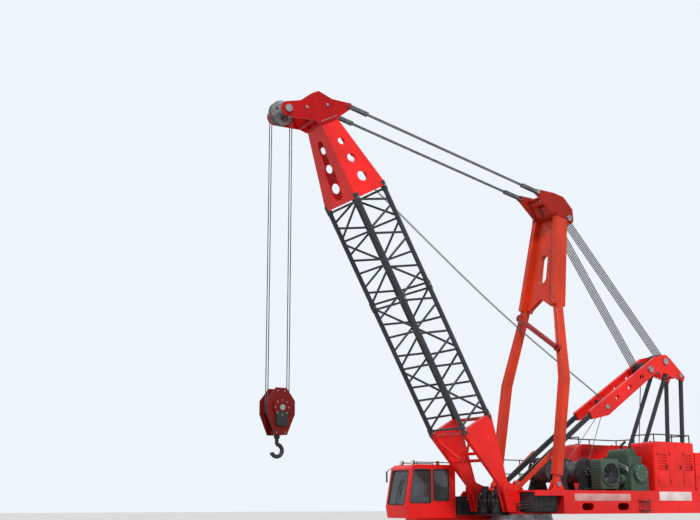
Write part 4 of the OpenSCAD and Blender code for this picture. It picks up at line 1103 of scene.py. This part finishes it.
CAB_X0, CAB_X1 = -1.95, -0.95
CAB_Y0, CAB_Y1 = -3.40, -1.65
CAB_FLOOR, CAB_ROOF = 1.18, 2.68
SILL = CAB_FLOOR + 0.43
LINTEL = CAB_ROOF - 0.14
FRONT_FOOT = CAB_FLOOR + 0.33
FRONT_SLOPE = 0.2 / (CAB_ROOF - 0.11 - FRONT_FOOT)
RACK_Z = 0.065
SEAT_LEAN = math.radians(10.9)
PAD_CUTS = 40
CORNER_POWER = 6
CHANNEL_DEPTH, CHANNEL_WIDTH = 0.12, 0.05
PIPING_R, PIPING_HEIGHT = 0.0045, 0.55


def cab_front(x, z, out=0.004):
    """A point on the cab's sloping front."""
    return at(x, CAB_Y0 + max(0.0, z - FRONT_FOOT) * FRONT_SLOPE - out, z)


def cab_back(x, z):
    """A point on the cab's back."""
    return at(x, CAB_Y1 + 0.003, z)


def gasket(bm, points):
    """Rubber seal round a window."""
    loop = []
    for p, q in zip(points, points[1:] + points[:1]):
        loop += [p.lerp(q, t) for t in (0.04, 0.5, 0.96)]
    path_tube(bm, loop, 0.016, 8, closed=True)


def window_seals():
    """Seals round the windows of the left side, the front and the back."""
    seals = bmesh.new()
    for foot, top, rear, sill in ((0.14, 0.29, 0.88, SILL), (0.96, 0.96, 1.52, SILL + 0.06)):
        corners = ((foot, sill), (top, LINTEL), (rear, LINTEL), (rear, sill))
        gasket(seals, [at(CAB_X1 + 0.002, CAB_Y0 + y, z) for y, z in corners])
    for place, inset, low, high in ((cab_front, 0.09, CAB_FLOOR + 0.38, LINTEL - 0.03),
                                    (cab_back, 0.14, SILL + 0.12, LINTEL)):
        left, right = CAB_X0 + inset, CAB_X1 - inset
        gasket(seals, [place(x, z) for x, z in ((left, low), (left, high), (right, high), (right, low))])
    piece("cab_seals", seals, "rubber")


def cab_fittings():
    """Wiper, mirror, and a rack along both sides of the roof."""
    dark = bmesh.new()
    pivot = cab_front(-1.45, CAB_FLOOR + 0.40, 0.02)
    elbow, tip = cab_front(-1.38, CAB_FLOOR + 0.75, 0.035), cab_front(-1.30, CAB_FLOOR + 1.05, 0.022)
    path_tube(dark, [pivot, elbow, tip], 0.009)
    rod(dark, cab_front(-1.42, CAB_FLOOR + 0.72, 0.018), cab_front(-1.18, CAB_FLOOR + 1.20, 0.018), 0.009, 8)
    rod(dark, pivot + ALONG_Y * 0.02, pivot - ALONG_Y * 0.02, 0.026, 14)
    arm = at(CAB_X0 + 0.03, CAB_Y0 + 0.42, CAB_ROOF - 0.08)
    bracket = [arm, arm + Vector((-0.06, -0.16, 0)), arm + Vector((-0.05, -0.34, -0.10))]
    path_tube(dark, bend(bracket, 6), 0.011)
    bar(dark, arm + Vector((-0.075, -0.38, -0.42)), arm + Vector((-0.035, -0.34, -0.10)), 0.010)
    front, rear = CAB_Y0 + 0.45, CAB_Y1 - 0.12
    for x in (CAB_X0 + 0.09, CAB_X1 - 0.09):
        for y in (front, rear):
            rod(dark, at(x, y, CAB_ROOF - 0.01), at(x, y, CAB_ROOF + 0.07), 0.014, 10)
        rod(dark, at(x, front, CAB_ROOF + RACK_Z), at(x, rear, CAB_ROOF + RACK_Z), 0.014, 10)
    piece("cab_fittings", dark, "black_paint")


def cab_lamps():
    """Two work lamps over the front and a beacon at the back of the roof."""
    lamps, lenses, beacon = meshes(3)
    for x in (CAB_X0 + 0.22, CAB_X1 - 0.22):
        p = at(x, CAB_Y0 + 0.40, CAB_ROOF + 0.06)
        rod(lamps, p + ALONG_Y * 0.07, p, 0.052, 20, 0.066)
        rod(lenses, p, p - ALONG_Y * 0.012, 0.060, 20)
        rod(lamps, p + Vector((0, 0.05, -0.07)), p + Vector((0, 0.05, -0.03)), 0.014, 10)
    p = at(-1.45, CAB_Y1 - 0.25, CAB_ROOF)
    rod(beacon, p + ALONG_Z * 0.02, p + ALONG_Z * 0.13, 0.055, 24, 0.045)
    piece("cab_lamps", lamps, "black_paint")
    piece("cab_lenses", lenses, "lamp_lens")
    piece("beacon", beacon, "amber_lens")


def pad(name, size, centre, lean, channels):
    """Crowned cushion with sides that pull in between its corners, sewn channels and piping."""
    half = Vector(size) / 2
    place = Matrix.Translation(centre) @ Matrix.Rotation(lean, 4, "X")

    def form(u, v, h):
        edge = max(abs(u), abs(v))
        corner = max(0.001, (abs(u) ** CORNER_POWER + abs(v) ** CORNER_POWER) ** (1 / CORNER_POWER))
        plan = (edge / corner if edge else 1.0) * (1 - 0.10 * h ** 4)
        height = h * (1 - 0.40 * edge ** 6)
        if h > 0.99:
            stitches = sum(math.exp(-((v - c) / CHANNEL_WIDTH) ** 2) for c in channels)
            height -= CHANNEL_DEPTH * stitches * (1 - edge ** 8)
        waist = Vector((1 - 0.03 * (1 - v * v), 1 - 0.03 * (1 - u * u), 1))
        return place @ (half * waist * Vector((u * plan, v * plan, height)))

    bm = bmesh.new()
    bmesh.ops.create_cube(bm, size=2.0)
    bmesh.ops.subdivide_edges(bm, edges=bm.edges, cuts=PAD_CUTS, use_grid_fill=True)
    for vert in bm.verts:
        vert.co = form(*vert.co)
    seam = [(i / 12 - 1, -1) for i in range(24)]
    seam += [(-v, u) for u, v in seam]
    seam += [(-u, -v) for u, v in seam]
    path_tube(bm, [form(u, v, PIPING_HEIGHT) for u, v in seam], PIPING_R, 8, closed=True)
    obj = piece(name, bm, "seat_leather", smooth=50.0)
    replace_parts(obj, "cab_seat")


def driver_seat():
    """Cushion and backrest on a frame with a bellows, all within the model's seat."""
    lo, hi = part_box("cab_seat")

    def spot(x, y, z):
        return Vector(((lo.x + hi.x) / 2 + x, lo.y + 0.26 + y, lo.z + z))

    back = spot(0, 0.262, 0.672)
    pad("seat_cushion", (0.47, 0.42, 0.125), spot(0, -0.045, 0.325), 0.0, (-0.35, 0.35))
    pad("seat_backrest", (0.43, 0.66, 0.105), back, math.radians(90) - SEAT_LEAN, (-0.55, -0.1, 0.35))
    bm = bmesh.new()
    bar(bm, spot(-0.15, -0.13, 0), spot(0.15, 0.15, 0.03))
    for i in range(5):
        half = 0.135 - 0.012 * (i % 2)
        z = 0.03 + i * 0.04
        bar(bm, spot(-half, 0.02 - half, z), spot(half, half, z + 0.04), 0.014)
    bar(bm, spot(-0.20, -0.22, 0.23), spot(0.20, 0.20, 0.262), 0.010)
    shell = Matrix.Translation(back) @ Matrix.Rotation(-SEAT_LEAN, 4, "X")
    bar(bm, (-0.205, 0.040, -0.33), (0.205, 0.056, 0.31), 0.007, shell)
    for x in (-0.185, 0.185):
        tube = [spot(x, 0.10, 0.25), spot(x, 0.235, 0.27), spot(x, 0.262, 0.42)]
        path_tube(bm, bend(tube, 6), 0.014)
    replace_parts(piece("seat_frame", bm, "rubber", slot="black_paint"), "cab_seat")


window_seals()
cab_fittings()
cab_lamps()
driver_seat()


# Boom, mast and hook

PLATE_X = 0.42
SPLICE = 9.15
TIP_BACK, TIP_ALONG = -1.07, 11.85


def boom_details():
    """Lugs and pins at the boom's joints, pins and bolts on its head, and a rope guide."""
    lugs, pins, head, bolts, guide = meshes(5)
    for along in BOOM_JOINTS:
        for x in (-CHORD_X, CHORD_X):
            for back in (-CHORD_Y, CHORD_Y):
                p = on_boom(x, back, along)
                for end in (-0.14, 0.14):
                    rod(lugs, p, on_boom(x, back, along + end), 0.082, 20)
                rod(pins, p - ALONG_X * 0.115, p + ALONG_X * 0.115, 0.034, 16)
    for back, along in ((-0.52, 11.71), (0.12, 11.57)):
        rod(head, on_boom(-0.46, back, along), on_boom(0.46, back, along), 0.040, 18)
    for x in SIDES:
        tip = on_boom(x * PLATE_X, TIP_BACK, TIP_ALONG)
        bolted_cap(head, bolts, tip, x * 0.06, 0.105, 0.085, 8, 0.011, 28)
        cap(head, on_boom(x * PLATE_X, 0.784, 11.33), x * 0.012, 0.07)
        for k in range(7):
            bolt(bolts, on_boom(x * PLATE_X, -0.24 + 0.08 * k, 11.22), (x, 0, 0), 0.014)
        foot = on_boom(x * 0.30, 0.58, SPLICE)
        rod(guide, foot, foot + Vector((0, 0.02, -0.14)), 0.022)
    rod(guide, on_boom(-0.34, 0.56, SPLICE), on_boom(0.34, 0.56, SPLICE), 0.035, 18)
    piece("boom_lugs", lugs, "grey_paint", "boom")
    piece("boom_pins", pins, "steel", "boom")
    piece("head_pins", head, "steel", "boom")
    piece("head_bolts", bolts, "galvanised", "boom")
    piece("rope_guide", guide, "black_paint", "boom")


def mast_details():
    """Pins, welded flanges along the legs, and bolts of the splice at the trunk's foot."""
    steel, bolts, flanges, caps = meshes(4)
    for side in SIDES:
        shaft = on_mast(side * 0.42, *MAST_SHEAVE)
        bolted_cap(steel, bolts, shaft, side * 0.05, 0.095, 0.070, 6, 0.010, 26)
        cap(steel, on_mast(side * 1.42, 0, 0), side * 0.02, 0.07)
        for (x0, z0), (x1, z1) in zip(MAST_KNEES, MAST_KNEES[1:]):
            ends = [(side * (x0 + (x1 - x0) * share), z0 + (z1 - z0) * share) for share in (0.06, 0.94)]
            for back in (-0.122, 0.122):
                for out in (-0.07, 0.07):
                    rod(flanges, *(on_mast(x + out, back, z) for x, z in ends), 0.008, 6)
        for k in range(5):
            for way in SIDES:
                bolt(bolts, on_mast(side * 0.72, way * 0.222, 5.45 + 0.11 * k), (0, way, 0), 0.016)
        pin = on_mast(side * 0.462, *MAST_PENDANT)
        rod(caps, pin - ALONG_X * (side * 0.032), pin + ALONG_X * (side * 0.004), 0.043, 24)
        cap(caps, pin, side * 0.016, 0.064)
    piece("mast_pins", steel, "steel", "live_mast")
    piece("mast_bolts", bolts, "galvanised", "live_mast")
    piece("mast_welds", flanges, "orange_paint", "live_mast")
    piece("stay_pin_caps", caps, "steel", "stay_pair")


def gantry_details():
    """Pins with bolted caps, and the roller that leads the hoist ropes between the arms."""
    steel, bolts, roller = meshes(3)
    for side in SIDES:
        for place in (GANTRY_TOP, GANTRY_SECOND):
            shaft = at(side * ARM_OUT, *place)
            bolted_cap(steel, bolts, shaft, side * 0.05, 0.11, 0.085, 8, 0.011, 28)
        for place in ((6.65, 5.68), (3.25, 4.50)):
            pin = at(side * ARM_OUT, *place)
            bolted_cap(steel, bolts, pin, side * 0.03, 0.075, 0.052, 6, 0.009)
        cap(steel, at(side * 0.37, -0.42, 2.13), side * 0.012, 0.06, 22)
        bracket = at(side * 0.225, *ROLLER)
        bar(roller, bracket - Vector((0.015, 0.10, 0.10)), bracket + Vector((0.015, 0.10, 0.10)))
    rod(roller, at(-ARM_IN, *ROLLER), at(ARM_IN, *ROLLER), ROLLER_R, 24)
    piece("gantry_pins", steel, "steel")
    piece("gantry_bolts", bolts, "galvanised")
    piece("lead_roller", roller, "black_paint")


def hook_details():
    """Bolts and weights on the block's cheeks, and the hook's latch."""
    bolts, weights, latch = meshes(3)
    for side in SIDES:
        bolt_circle(bolts, BLOCK + ALONG_X * (side * 0.27), (side, 0, 0), 0.19, 8, 0.014)
        cap(bolts, BLOCK + ALONG_X * (side * 0.28), side * 0.022, 0.075)
        for y, z in ((-0.10, 0.42), (0.10, 0.42), (-0.12, -0.62), (0.12, -0.62)):
            bolt(bolts, BLOCK + Vector((side * 0.22, y, z)), (side, 0, 0), 0.014)
        cheek = BLOCK + ALONG_X * (side * 0.245)
        bar(weights, cheek + Vector((-0.028, -0.16, -0.45)), cheek + Vector((0.028, 0.16, -0.10)), 0.012)
    eye = BLOCK - ALONG_Z * 1.06
    line = [eye + Vector((0, y, z)) for y, z in ((0.05, 0.17), (0.12, 0.10), (0.14, 0.0))]
    path_tube(latch, bend(line, 6), 0.009)
    piece("block_bolts", bolts, "steel", "lower_block")
    piece("block_weights", weights, "black_paint", "lower_block")
    piece("hook_latch", latch, "galvanised", "swivel_hook")


boom_details()
mast_details()
gantry_details()
hook_details()

scene = bpy.context.scene
scene.view_settings.view_transform = "Standard"
